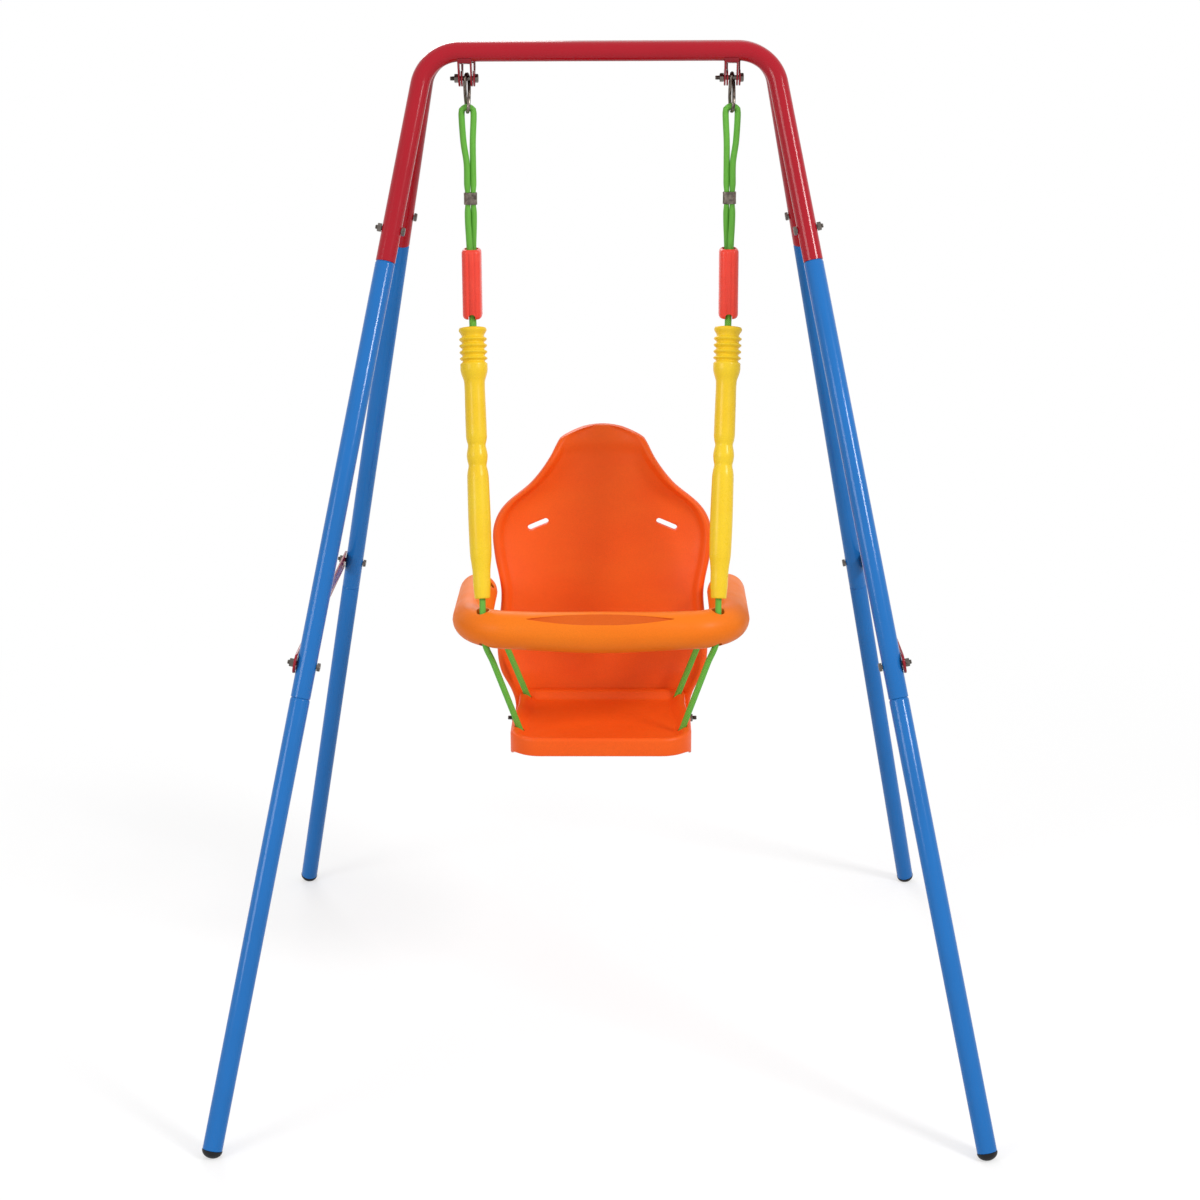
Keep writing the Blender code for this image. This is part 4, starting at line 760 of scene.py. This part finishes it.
def strand(side):
    """Chosen points down one strand, with the rope's radius at each as a share."""
    apex = HINGE_Z - LOOP_DROP
    above, below = CRIMP_Z + CRIMP_HEIGHT / 2, CRIMP_Z - CRIMP_HEIGHT / 2
    loop = apex - above
    pinched = ROPE_R * PINCH + GAP
    leave = CRIMP_HEIGHT * 0.62
    places = [
        (HANGER_X, LOOP_HALF * 0.72, 0.0, apex - LOOP_HALF * 0.31, 1.0),
        (HANGER_X, LOOP_HALF, 0.0, apex - LOOP_HALF * 1.1, 1.0),
        (HANGER_X, LOOP_HALF * 0.78, 0.0, apex - loop * 0.4, 1.0),
        (ROPE_X, ROPE_R * 0.98, ROPE_R * 0.3, apex - loop * 0.66, 1.0),
        (ROPE_X, ROPE_R * 0.97, ROPE_R * 0.3, above + leave, 1.0),
        (ROPE_X, pinched, 0.0, above, PINCH),
        (ROPE_X, pinched, 0.0, below, PINCH),
        (ROPE_X, ROPE_R * 0.93, ROPE_R * 0.45, below - leave, 1.0),
        (ROPE_X, ROPE_R * 0.85, ROPE_R * 0.7, below - leave * 2.6, 1.0),
        (ROPE_X, ROPE_R * 0.5, STRAND_SPREAD * 0.47, ADJUSTER_TOP_Z, 1.0),
        (ROPE_X, ROPE_R * 0.2, STRAND_SPREAD * 0.73, ADJUSTER_TOP_Z - ADJUSTER_LENGTH / 2, 1.0),
    ]
    route = [(Vector((x - side * out, side * y, z)), share) for x, out, y, z, share in places]
    top, entry, hole = strand_marks(side)
    route += [(top.lerp(entry, part), 1.0) for part in sweep(0.0, 1.0, 8)[:-1]]
    route += [(entry.lerp(hole, part), 1.0) for part in sweep(0.0, 1.0, 4)]
    under, down = knot_place(side)
    route += [(under + down * KNOT_HALF * reach, 1.0) for reach in (-1.02, 1.02, 1.5)]
    return route


def rope_line(sx):
    """Dense points and radii of a whole rope: smooth through the chosen points."""
    whole = strand(-1)[::-1] + [(Vector((HANGER_X, 0.0, HINGE_Z - LOOP_DROP)), 1.0)] + strand(1)
    line = []
    for index in range(len(whole) - 1):
        p0, p1, p2, p3 = near(whole, index)
        count = max(2, round((p2[0] - p1[0]).length / 0.0035))
        for t in sweep(0.0, 1.0, count)[:-1]:
            point = catmull_rom(p0[0], p1[0], p2[0], p3[0], t)
            line.append((mirrored(point, sx), ROPE_R * (p1[1] + (p2[1] - p1[1]) * t)))
    return line + [(mirrored(whole[-1][0], sx), ROPE_R)]


def rope(node, sx, body):
    """The braided rope as one tube with UVs along its lay."""
    line = rope_line(sx)
    travelled = [0.0]
    for (before, _), (point, _) in zip(line, line[1:]):
        travelled.append(travelled[-1] + (point - before).length / (2 * ROPE_R))
    bm = skinned(tube_along(line, ROPE_SIDES))
    lay = bm.loops.layers.uv.new("lay")
    for number, face in enumerate(list(bm.faces)[:-2]):
        row, column = divmod(number, ROPE_SIDES)
        for loop, (over, up) in zip(face.loops, ((0, 0), (1, 0), (1, 1), (0, 1))):
            loop[lay].uv = ((column + over) / ROPE_SIDES, travelled[row + up])
    knots(bm, sx)
    piece(node, bm, GREEN, body, 60.0)


def knots(bm, sx):
    """Stopper knots under the seat: a strand wound once round the rope's end, as two plump turns."""
    for side in (-1, 1):
        centre, down = (mirrored(part, sx) for part in knot_place(side))
        u, v = square_frame(down)
        line = []
        for share in sweep(0.0, 1.0, 60):
            angle = 2 * pi * KNOT_TURNS * share
            reach = (KNOT_RADIUS - ROPE_R) * sin(pi * share) ** 0.35
            shift = (share - 0.5) * 2 * (KNOT_HALF - ROPE_R)
            around = (u * cos(angle) + v * sin(angle)) * reach
            line.append((centre + down * shift + around, ROPE_R * 0.98))
        skin(bm, tube_along(line, 14, down))


def crimp(node, sx, body):
    """A pressed ring: two lobes and a waist between them."""
    outer = ((-1.0, 0.55), (-0.97, 0.95), (-0.9, 1.0), (-0.5, 0.9), (0.0, 0.88), (0.5, 0.9), (0.9, 1.0),
             (0.97, 0.95), (1.0, 0.55))
    levels = [(z, CRIMP_WALL * grow) for z, grow in outer] + [(1.0, 0.0002), (-1.0, 0.0002)]
    rings = []
    for z, wall in levels:
        centre = Vector((sx * ROPE_X, 0, CRIMP_Z + z * (CRIMP_HEIGHT / 2 - GAP)))
        half_y = ROPE_R * PINCH + GAP * 2 + wall
        half_x = half_y + ROPE_R * PINCH + GAP
        ring = []
        for x, y in squared_circle(half_x, half_y, 2.6, 72):
            waist = 1 - 0.1 * exp(-(x / (half_x * 0.22)) ** 2)
            ring.append(centre + Vector((x, y * waist, 0)))
        rings.append(ring)
    piece(node, skinned(rings, closed=True), NICKEL, body)


def adjuster_section(centre, inset):
    """Rounded sleeve with two rounded grooves down its front and two down its back."""
    half_y = ADJUSTER_DEPTH / 2 - inset
    depth = GROOVE_DEPTH * max(0.0, 1 - inset / 0.0012)
    points = []
    for x, y in squared_circle(ADJUSTER_WIDTH / 2 - inset, half_y, 3.4, 120):
        if abs(y) > half_y * 0.6:
            dent = exp(-((abs(x) - 0.0036) / 0.0014) ** 2)
            y -= copysign(depth * dent, y)
        points.append(centre + Vector((x, y, 0)))
    return points


def adjuster(node, sx, body):
    """A sleeve with round ends and a notch in its lower end."""
    bottom, top = ADJUSTER_BOTTOM_Z, ADJUSTER_TOP_Z
    middle = X_AXIS * sx * ROPE_X
    rounding = ((0.0, 0.0032), (0.0005, 0.0022), (0.0016, 0.0011), (0.0032, 0.0003), (0.005, 0.0))
    levels = [(bottom + up, inset) for up, inset in rounding] + [(top - up, inset) for up, inset in rounding[::-1]]
    rings = [adjuster_section(middle + Z_AXIS * z, inset) for z, inset in levels]
    half_x, half_y = ADJUSTER_WIDTH / 2 - ADJUSTER_WALL, ADJUSTER_DEPTH / 2 - ADJUSTER_WALL
    for z in (top, bottom):
        rings.append([middle + Vector((x, y, z)) for x, y in squared_circle(half_x, half_y, 3.0, 120)])
    made = piece(node, skinned(rings, closed=True), CORAL, body)
    half_notch = ((0.0044, -0.002), (0.0044, 0.0032), (0.0031, 0.0056), (0.001, 0.0066))
    notch = half_notch + tuple((-x, z) for x, z in half_notch[::-1])
    notch = [middle + Vector((x, 0, bottom + z)) for x, z in notch]
    cut(made, prism(notch, Y_AXIS * ADJUSTER_DEPTH * 2))
    soften(made, 0.0004, 2, 50.0)


def handle_profile():
    """Chosen points down the grip, then a dense smooth curve through them."""
    profile = [(0.0012, RIB_RADIUS - 0.0006), (RIB_START * 0.54, RIB_RADIUS)]
    for rib in range(1, RIB_COUNT + 1):
        tip = RIB_START + RIB_PITCH * rib
        profile += [(tip - RIB_PITCH * 0.45, RIB_ROOT_RADIUS), (tip, RIB_RADIUS)]
    profile += [
        (tip + RIB_PITCH * 0.42, RIB_ROOT_RADIUS), (tip + RIB_PITCH * 0.84, COLLAR_RADIUS),
        (tip + RIB_PITCH * 2.1, COLLAR_RADIUS * 0.97), (tip + RIB_PITCH * 3.6, GRIP_RADIUS),
        (HANDLE_LENGTH * 0.29, GRIP_RADIUS),
    ]
    profile += [(HANDLE_LENGTH * along, GRIP_RADIUS * share) for along, share in GRIP_OUTLINE]
    profile.append((HANDLE_LENGTH - 0.0008, HANDLE_END_RADIUS * 0.95))
    dense = [(0.0, RIB_RADIUS - 0.0026), (0.0003, RIB_RADIUS - 0.0012)]
    for index in range(len(profile) - 1):
        p0, p1, p2, p3 = near(profile, index)
        for t in sweep(0.0, 1.0, 6)[:-1]:
            radius = min(catmull_rom(p0[1], p1[1], p2[1], p3[1], t), max(p1[1], p2[1]))
            dense.append((p1[0] + (p2[0] - p1[0]) * t, radius))
    return dense + [profile[-1], (HANDLE_LENGTH, HANDLE_END_RADIUS * 0.95 - 0.0008)]


def handle(node, sx, body):
    top, entry, _ = strand_marks(-1)
    down = (entry - top).normalized()
    start, axis = mirrored(top + down * HANDLE_TOP_GAP, sx), mirrored(down, sx)
    hole = ROPE_R + HANDLE_CLEARANCE
    bellows = RIB_ROOT_RADIUS - HANDLE_WALL
    grip = GRIP_RADIUS * 0.92 - HANDLE_WALL
    floor = HANDLE_LENGTH - HANDLE_WALL
    profile = handle_profile() + [
        (HANDLE_LENGTH, hole + 0.0006), (HANDLE_LENGTH - 0.0006, hole), (floor, hole),
        (floor, HANDLE_END_RADIUS - HANDLE_WALL), (HANDLE_LENGTH * 0.8, grip), (HANDLE_LENGTH * 0.17, grip),
        (HANDLE_LENGTH * 0.12, bellows), (HANDLE_WALL, bellows), (HANDLE_WALL, hole), (0.0006, hole),
        (0.0, hole + 0.0006),
    ]
    piece(node, turned(start, axis, profile, 64, closed=True), YELLOW, body, 50.0)


# Guard, seat and backrest

def bar_station(x):
    """Front y, half width and half height of the guard's bar at one place along it."""
    share = abs(x) / GUARD_STRAIGHT
    ease = smooth(1 - share)
    wide = GUARD_ARM_HALF_WIDTH + (GUARD_BAR_HALF_WIDTH - GUARD_ARM_HALF_WIDTH) * ease
    high = GUARD_ARM_HALF_HEIGHT + (GUARD_BAR_HALF_HEIGHT - GUARD_ARM_HALF_HEIGHT) * ease
    return GUARD_FRONT_Y - GUARD_BOW * (1 - share * share), wide, high


def guard_stations():
    """Centre, direction, half width and half height of each section, from end to end."""
    size = (GUARD_ARM_HALF_WIDTH, GUARD_ARM_HALF_HEIGHT)
    arm_end = GUARD_FRONT_Y + GUARD_CORNER_RADIUS
    half = []
    for turn in (88.0, 80.0, 70.0, 60.0, 50.0, 40.0, 30.0, 20.0, 10.0):
        angle = radians(turn)
        y = GUARD_REAR_Y + GUARD_ARM_HALF_HEIGHT * sin(angle)
        half.append((Vector((-GUARD_HALF_X, y, 0)), -Y_AXIS, size[0] * cos(angle), size[1] * cos(angle)))
    for y in sweep(GUARD_REAR_Y, arm_end, 5)[:-1]:
        half.append((Vector((-GUARD_HALF_X, y, 0)), -Y_AXIS, *size))
    for angle in sweep(0.0, QUARTER, 18):
        out = Vector((-cos(angle), -sin(angle), 0))
        centre = Vector((-GUARD_STRAIGHT, arm_end, 0)) + out * GUARD_CORNER_RADIUS
        half.append((centre, Vector((-out.y, out.x, 0)), *size))
    for share in sweep(1.0, 0.0, 12)[1:]:
        x = -GUARD_STRAIGHT * share
        y, wide, high = bar_station(x)
        along = Vector((1, -2 * GUARD_BOW * share / GUARD_STRAIGHT, 0)).normalized()
        half.append((Vector((x, y, 0)), along, wide, high))
    other = [(mirrored(centre, -1), -mirrored(along, -1), *rest) for centre, along, *rest in half[-2::-1]]
    return half + other


def guard_ring(centre, along, wide, high):
    """One section, with the faint ridge of the mould's parting line outside and inside."""
    across = along.cross(Z_AXIS)
    points = []
    for angle in sweep(0.0, 2 * pi, 48)[:-1]:
        c, s = cos(angle), sin(angle)
        ridge = 0.00025 * exp(-(s / 0.03) ** 2)
        points.append(centre + across * ((wide + ridge) * c) + Z_AXIS * (high * s))
    return points


def guard(body):
    rings = [guard_ring(centre + Z_AXIS * GUARD_Z, *rest) for centre, *rest in guard_stations()]
    made = piece("guard", skinned(rings), GUARD_LOOK, body, 45.0)
    for sx in (-1, 1):
        for side in (-1, 1):
            cut(made, strand_cutter(sx, side), angle=45.0)
    # The recess gets the darker orange as painted shade.
    made.data.materials.append(RECESS_LOOK_WITH_PAINTED_SHADE)
    cut(made, recess_cutter(), angle=45.0)
    soften(made, EDGE, 3, 40.0)


def strand_cutter(sx, side):
    """A strand's way through the guard, a little wider than the rope."""
    top, entry, hole = strand_marks(side)
    above = entry + (top - entry).normalized() * GUARD_BAR_HALF_HEIGHT * 2.2
    below = entry + (hole - entry).normalized() * GUARD_BAR_HALF_HEIGHT * 1.1
    radius = ROPE_R + ROPE_CLEARANCE + 0.0008
    return skinned(tube_along([(mirrored(point, sx), radius) for point in (above, entry, below)], 32))


def recess_cutter():
    """A shallow lens along the upper front of the bar, bare, with soft ends."""
    sine, cosine = sin(RECESS_TURN), cos(RECESS_TURN)
    out = Vector((0.0, -sine / GUARD_BAR_HALF_WIDTH, cosine / GUARD_BAR_HALF_HEIGHT)).normalized()
    across = Vector((0.0, out.z, -out.y))
    rings = []
    for share in sweep(-1.0, 1.0, 64):
        x = RECESS_HALF_LENGTH * share
        y, wide, high = bar_station(x)
        surface = Vector((x, y - wide * sine, GUARD_Z + high * cosine))
        half = RECESS_HALF_WIDTH * (1 - share * share) + GAP
        floor, lid = surface - out * RECESS_DEPTH, surface + out * RECESS_DEPTH * 3
        ring = [lid - across * half]
        for t in sweep(-1.0, 1.0, 12):
            ring.append(floor + across * (half * t) + out * (RECESS_DEPTH * 0.35 * abs(t) ** 5))
        rings.append(ring + [lid + across * half])
    tool = skinned(rings)
    # Its faces take the second material, the darker orange of painted shade.
    for face in tool.faces:
        face.material_index = 1
    return tool


def seat_half_width(y):
    ease = smooth((y - SEAT_TAPER_Y) / SEAT_TAPER_LENGTH)
    return SEAT_HALF_WIDTH + (SEAT_REAR_HALF_WIDTH - SEAT_HALF_WIDTH) * ease


def seat_outline(inset):
    """x and y once around the seat, from the middle of its front."""
    front, rear = SEAT_FRONT_Y + inset, SEAT_REAR_Y - inset
    corner = SEAT_CORNER - inset
    rear_corner = max(SEAT_WALL, SEAT_REAR_CORNER - inset)
    front_x = seat_half_width(SEAT_FRONT_Y) - inset - corner
    rear_x = SEAT_REAR_HALF_WIDTH - inset - rear_corner
    right = [(front_x * share, front) for share in sweep(0.0, 1.0, 7)[1:-1]]
    for angle in sweep(0.0, QUARTER, 16):
        right.append((front_x + corner * sin(angle), front + corner - corner * cos(angle)))
    for y in sweep(front + corner, rear - rear_corner, 20)[1:-1]:
        right.append((seat_half_width(y) - inset, y))
    for angle in sweep(0.0, QUARTER, 12):
        right.append((rear_x + rear_corner * cos(angle), rear - rear_corner + rear_corner * sin(angle)))
    right += [(rear_x * share, rear) for share in sweep(1.0, 0.0, 7)[1:-1]]
    return [(0.0, front)] + right + [(0.0, rear)] + [(-x, y) for x, y in right[::-1]]


def skirt_bottom(y):
    ease = smooth((y - SEAT_FRONT_Y - SEAT_LIP_Y) / SEAT_LIP_RUN)
    return SEAT_TOP_Z - SEAT_LIP_HEIGHT - (SEAT_SKIRT_HEIGHT - SEAT_LIP_HEIGHT) * ease


def seat_bolt_hole(made, sx):
    place = Vector((sx * SEAT_REAR_HALF_WIDTH, SEAT_BOLT_Y, SEAT_BOLT_Z))
    drill(made, place, X_AXIS, HOLE_R, 0.03)


def seat(body):
    """A dished pan with a round edge all around and a hollow skirt below it."""
    dish = SEAT_TOP_Z - SEAT_DISH
    level = [(SEAT_RIM + 0.012 - 0.017 * share, dish + (SEAT_DISH - 0.0002) * smooth(share))
             for share in sweep(0.0, 1.0, 6)]
    for angle in sweep(0.0, QUARTER, 3):
        level.append((SEAT_EDGE * (1 - sin(angle)), SEAT_TOP_Z - SEAT_EDGE * (1 - cos(angle))))
    skirt = ((0.0, EDGE), (EDGE, 0.0), (SEAT_WALL - EDGE, 0.0), (SEAT_WALL, EDGE))
    rings = [[Vector((x, y, z)) for x, y in seat_outline(inset)] for inset, z in level]
    rings += [[Vector((x, y, skirt_bottom(y) + up)) for x, y in seat_outline(inset)] for inset, up in skirt]
    rings.append([Vector((x, y, dish - SEAT_WALL)) for x, y in seat_outline(SEAT_WALL)])
    made = piece("seat", skinned(rings), BACK_LOOK, body, 40.0)
    for sx in (-1, 1):
        for side in (-1, 1):
            _, entry, hole = strand_marks(side)
            way = (hole - entry).normalized()
            centre = mirrored(hole + way * (SEAT_WALL / 2), sx)
            drill(made, centre, mirrored(way, sx), ROPE_R + SEAT_CLEARANCE, 0.03)
        seat_bolt_hole(made, sx)


def crown(height, reach):
    """0 up to the last stretch below the backrest's top, then rising to 1."""
    return max(0.0, (height - BACK_HEIGHT) / reach + 1)


def back_half_width(height):
    index = max(index for index, row in enumerate(BACK_OUTLINE[:-1]) if row[0] <= height)
    p0, p1, p2, p3 = near(BACK_OUTLINE, index)
    t = (height - p1[0]) / (p2[0] - p1[0])
    return catmull_rom(p0[1], p1[1], p2[1], p3[1], t) * sqrt(1 - 0.75 * crown(height, BACK_CROWN) ** 3)


def back_face_y(x, height, half):
    share = min(1.0, abs(x) / half)
    rise = min(1.0, height / BACK_WRAP_RISE) * (1 - 0.75 * crown(height, BACK_CROWN * 3) ** 1.5)
    return BACK_FOOT_Y + height * tan(BACK_LEAN) - BACK_WRAP * rise * share ** 2.6


def back_roll(share, rim, height):
    """How far the rolled rim stands forward, a smooth swell along the sides and the top."""
    side = max(0.0, (share - rim) / (1 - rim))
    upper = max(0.0, (height / BACK_HEIGHT - BACK_TOP_RIM) / (1 - BACK_TOP_RIM))
    rise = min(1.0, height / BACK_WRAP_RISE)
    return BACK_ROLL * rise * sin(pi * min(1.0, max(side, upper))) ** 1.4


def back_section(height, depth, squeeze=0.0):
    """One level. depth is how far the hollow at the rear goes in there, squeeze rounds the ends."""
    half = back_half_width(height) - squeeze
    rim = max(0.2, 1 - BACK_RIM / half)
    thick = BACK_THICKNESS - 2 * squeeze
    edge = [(1.0, 0.5), (0.9985, 0.32), (0.994, 0.17), (0.986, 0.06)]
    edge += [(share, 0.0) for share in sweep(rim, 0.975, 8)[:0:-1]]
    middle = [(rim * share, 0.0) for share in sweep(-1.0, 1.0, 48)]
    front, rear = [], []
    for share, lift in [(-share, lift) for share, lift in edge] + middle + edge[::-1]:
        y = back_face_y(half * share, height, half)
        hollow = 0.0
        if abs(share) < rim:
            hollow = depth * smooth((rim - abs(share)) * half / HOLLOW_RUN)
        roll = back_roll(abs(share), rim, height)
        z = BACK_BOTTOM_Z + height
        front.append(Vector((half * share, y + thick * lift + squeeze - roll, z)))
        if abs(share) < 1.0:
            rear.append(Vector((half * share, y + BACK_THICKNESS - squeeze - thick * lift - hollow, z)))
    return front + rear[::-1]


def backrest(body):
    shoulder = BACK_HEIGHT - BACK_CROWN
    heights = sweep(BACK_EDGE, shoulder, 80)[1:]
    heights += [shoulder + (BACK_CROWN - BACK_EDGE) * sin(angle) for angle in sweep(0.0, QUARTER, 10)[1:-1]]
    ends = ((0.0, 0.003), (EDGE, 0.0012), (BACK_EDGE, 0.0))
    rings = [back_section(height, 0.0, squeeze) for height, squeeze in ends]
    for height in heights:
        inside = min(height - BACK_RIM, BACK_HEIGHT * BACK_TOP_RIM - height)
        rings.append(back_section(height, (BACK_THICKNESS - BACK_PANEL) * smooth(inside / HOLLOW_RUN)))
    rings += [back_section(BACK_HEIGHT - height, 0.0, squeeze) for height, squeeze in ends[::-1]]
    made = piece("backrest", skinned(rings), BACK_LOOK, body, 45.0)
    for sx in (-1, 1):
        cut(made, ear(sx), "UNION", 45.0)
        seat_bolt_hole(made, sx)
        cut(made, belt_slot(sx), angle=45.0)
    soften(made, EDGE, 2, 55.0)


def ear(sx):
    """A flat lug from the backrest's foot to the seat bolt."""
    x = sx * (SEAT_REAR_HALF_WIDTH + GAP + EAR_THICKNESS / 2)
    root = BACK_FOOT_Y + BACK_THICKNESS * 0.5
    points = [Vector((x, root, SEAT_BOLT_Z + EAR_ROOT_RISE)), Vector((x, root, BACK_BOTTOM_Z + EAR_THICKNESS / 2))]
    points += arc(Vector((x, SEAT_BOLT_Y, SEAT_BOLT_Z)), Y_AXIS, Z_AXIS, EAR_RADIUS, -QUARTER, -3 * QUARTER, 30)
    return prism(points, X_AXIS * EAR_THICKNESS)


def belt_slot(sx):
    """The cutter for a slanted slot with round ends."""
    centre = Vector((sx * SLOT_X, BACK_FOOT_Y + SLOT_RISE * tan(BACK_LEAN), BACK_BOTTOM_Z + SLOT_RISE))
    along = Vector((sx * cos(SLOT_SLANT), 0, -sin(SLOT_SLANT)))
    across = Vector((sx * sin(SLOT_SLANT), 0, cos(SLOT_SLANT)))
    radius = SLOT_HEIGHT / 2
    points = []
    for end in (1, -1):
        middle = centre + along * (end * (SLOT_WIDTH / 2 - radius))
        points += arc(middle, along * end, across * end, radius, -QUARTER, QUARTER, 16)
    return prism(points, Y_AXIS * 0.12)


# The whole set

def build_frame():
    for word, sy in (("front", -1), ("rear", 1)):
        body = word + "_frame"
        top_tube(word + "_top_tube", sy, body)
        for side, sx in SIDES:
            place = word + "_" + side
            high, low = (joint_bolt(sx, sy, z) for z in (TOP_JOINT_Z, LOW_JOINT_Z))
            knee = leg_point(sx, sy, LOW_JOINT_Z)
            leg_tube("upper_leg_" + place, sx, sy, TOP_JOINT_Z, knee, (high, low), body)
            leg_tube("lower_leg_" + place, sx, sy, LOW_JOINT_Z, foot_end(sx, sy), (low,), body)
            foot_cap("foot_cap_" + place, sx, sy, body)
            hinge_bracket("hinge_bracket_" + place, sx, sy, body)
            axis = bolt_axis(sx)
            fasten("joint", place, high - axis * TUBE_R, axis, TUBE_D, body)
            fasten("brace", place, low - axis * TUBE_R, axis, TUBE_D + BRACE_THICKNESS + 2 * GAP, body)
    half = (LUG_PITCH + 2 * LUG_THICKNESS + LUG_SIDE_GAP) / 2
    for side, sx in SIDES:
        brace("brace_" + side, sx, "brace_" + side)
        start = HINGE + Vector((sx * HANGER_X + half, 0, 0))
        fasten("hinge", side, start, Vector((-1, 0, 0)), 2 * half, "front_frame", LONG_THREAD_OUT)


def build_swing():
    for side, sx in SIDES:
        link("link_" + side, sx, "swing")
        rope("rope_" + side, sx, "swing")
        crimp("crimp_" + side, sx, "swing")
        adjuster("adjuster_" + side, sx, "adjuster_" + side)
        handle("handle_" + side, sx, "handle_" + side)
        start = Vector((sx * (SEAT_REAR_HALF_WIDTH - SEAT_WALL), SEAT_BOLT_Y, SEAT_BOLT_Z))
        fasten("seat", side, start, Vector((sx, 0, 0)), SEAT_WALL + GAP + EAR_THICKNESS, "swing", LONG_THREAD_OUT)
    guard("guard")
    seat("swing")
    backrest("swing")


# Stage, light and camera

def stage():
    bm = bmesh.new()
    bmesh.ops.create_grid(bm, x_segments=1, y_segments=1, size=14.0)
    floor = object_of("floor", bm)
    floor.data.materials.append(floor_look())


def floor_look():
    """Pale floor with its own light and shadow near the object, fading to plain white further out."""
    look = Look("pale_floor")
    shader = look.tree.nodes["Principled BSDF"]
    look.fill(shader, {"Base Color": (0.8, 0.8, 0.8, 1.0), "Roughness": 0.9, "Specular IOR Level": 0.1})
    lift = look.maths("MULTIPLY", look.add("LightPath", "Is Camera Ray", {}), 0.24)
    glow = look.add("Emission", "Emission", {"Strength": lift})
    lit = look.add("AddShader", "Shader", {0: shader.outputs["BSDF"], 1: glow})
    place = look.add("TexCoord", "Object", {})
    reach = look.add("VectorMath", "Value", {0: place}, operation="LENGTH")
    limits = {"From Min": 0.9, "From Max": 2.1, "To Min": 0.4}
    fade = look.add("MapRange", "Result", {"Value": reach, **limits}, interpolation_type="SMOOTHSTEP")
    white = look.add("Emission", "Emission", {"Strength": look.background(0.45)})
    both = look.add("MixShader", "Shader", {"Fac": fade, 1: lit, 2: white})
    look.fill(look.tree.nodes["Material Output"], {"Surface": both})
    return look.made


def world():
    """White to the camera and in reflections, softer as a light on the object."""
    look = Look("studio", "worlds")
    bpy.context.scene.world = look.made
    light = {"Color": (1.0, 1.0, 1.0, 1.0), "Strength": look.background(0.62)}
    look.fill(look.tree.nodes["Background"], light)


def lamp(name, place, aim, size, power):
    made = bpy.data.lights.new(name, "AREA")
    made.shape = "DISK"
    made.size = size
    made.energy = power
    lit = bpy.data.objects.new(name, made)
    lit.location = place
    lit.rotation_euler = (Vector(aim) - Vector(place)).to_track_quat("-Z", "Y").to_euler()
    bpy.context.scene.collection.objects.link(lit)


def camera():
    made = bpy.data.cameras.new("camera")
    made.sensor_width = 36.0
    made.lens = 69.57
    held = bpy.data.objects.new("camera", made)
    turn = (Matrix.Rotation(radians(0.83), 4, "Z") @ Matrix.Rotation(radians(-15.5), 4, "X")
            @ Matrix.Rotation(radians(0.25), 4, "Y") @ Matrix.Rotation(radians(90.0), 4, "X"))
    held.matrix_world = Matrix.Translation((0.041, -2.972, 1.405)) @ turn
    bpy.context.scene.collection.objects.link(held)
    bpy.context.scene.camera = held


build_frame()
build_swing()
stage()
world()
lamp("key", (2.3, -1.95, 2.7), (0.0, 0.0, 0.75), 0.85, 52.0)
lamp("fill", (-2.4, -2.2, 1.9), (0.0, 0.0, 0.7), 1.5, 28.0)
lamp("rim", (-0.8, 2.6, 2.4), (0.0, 0.0, 0.8), 1.4, 22.0)
camera()
bpy.context.scene.view_settings.view_transform = "Standard"
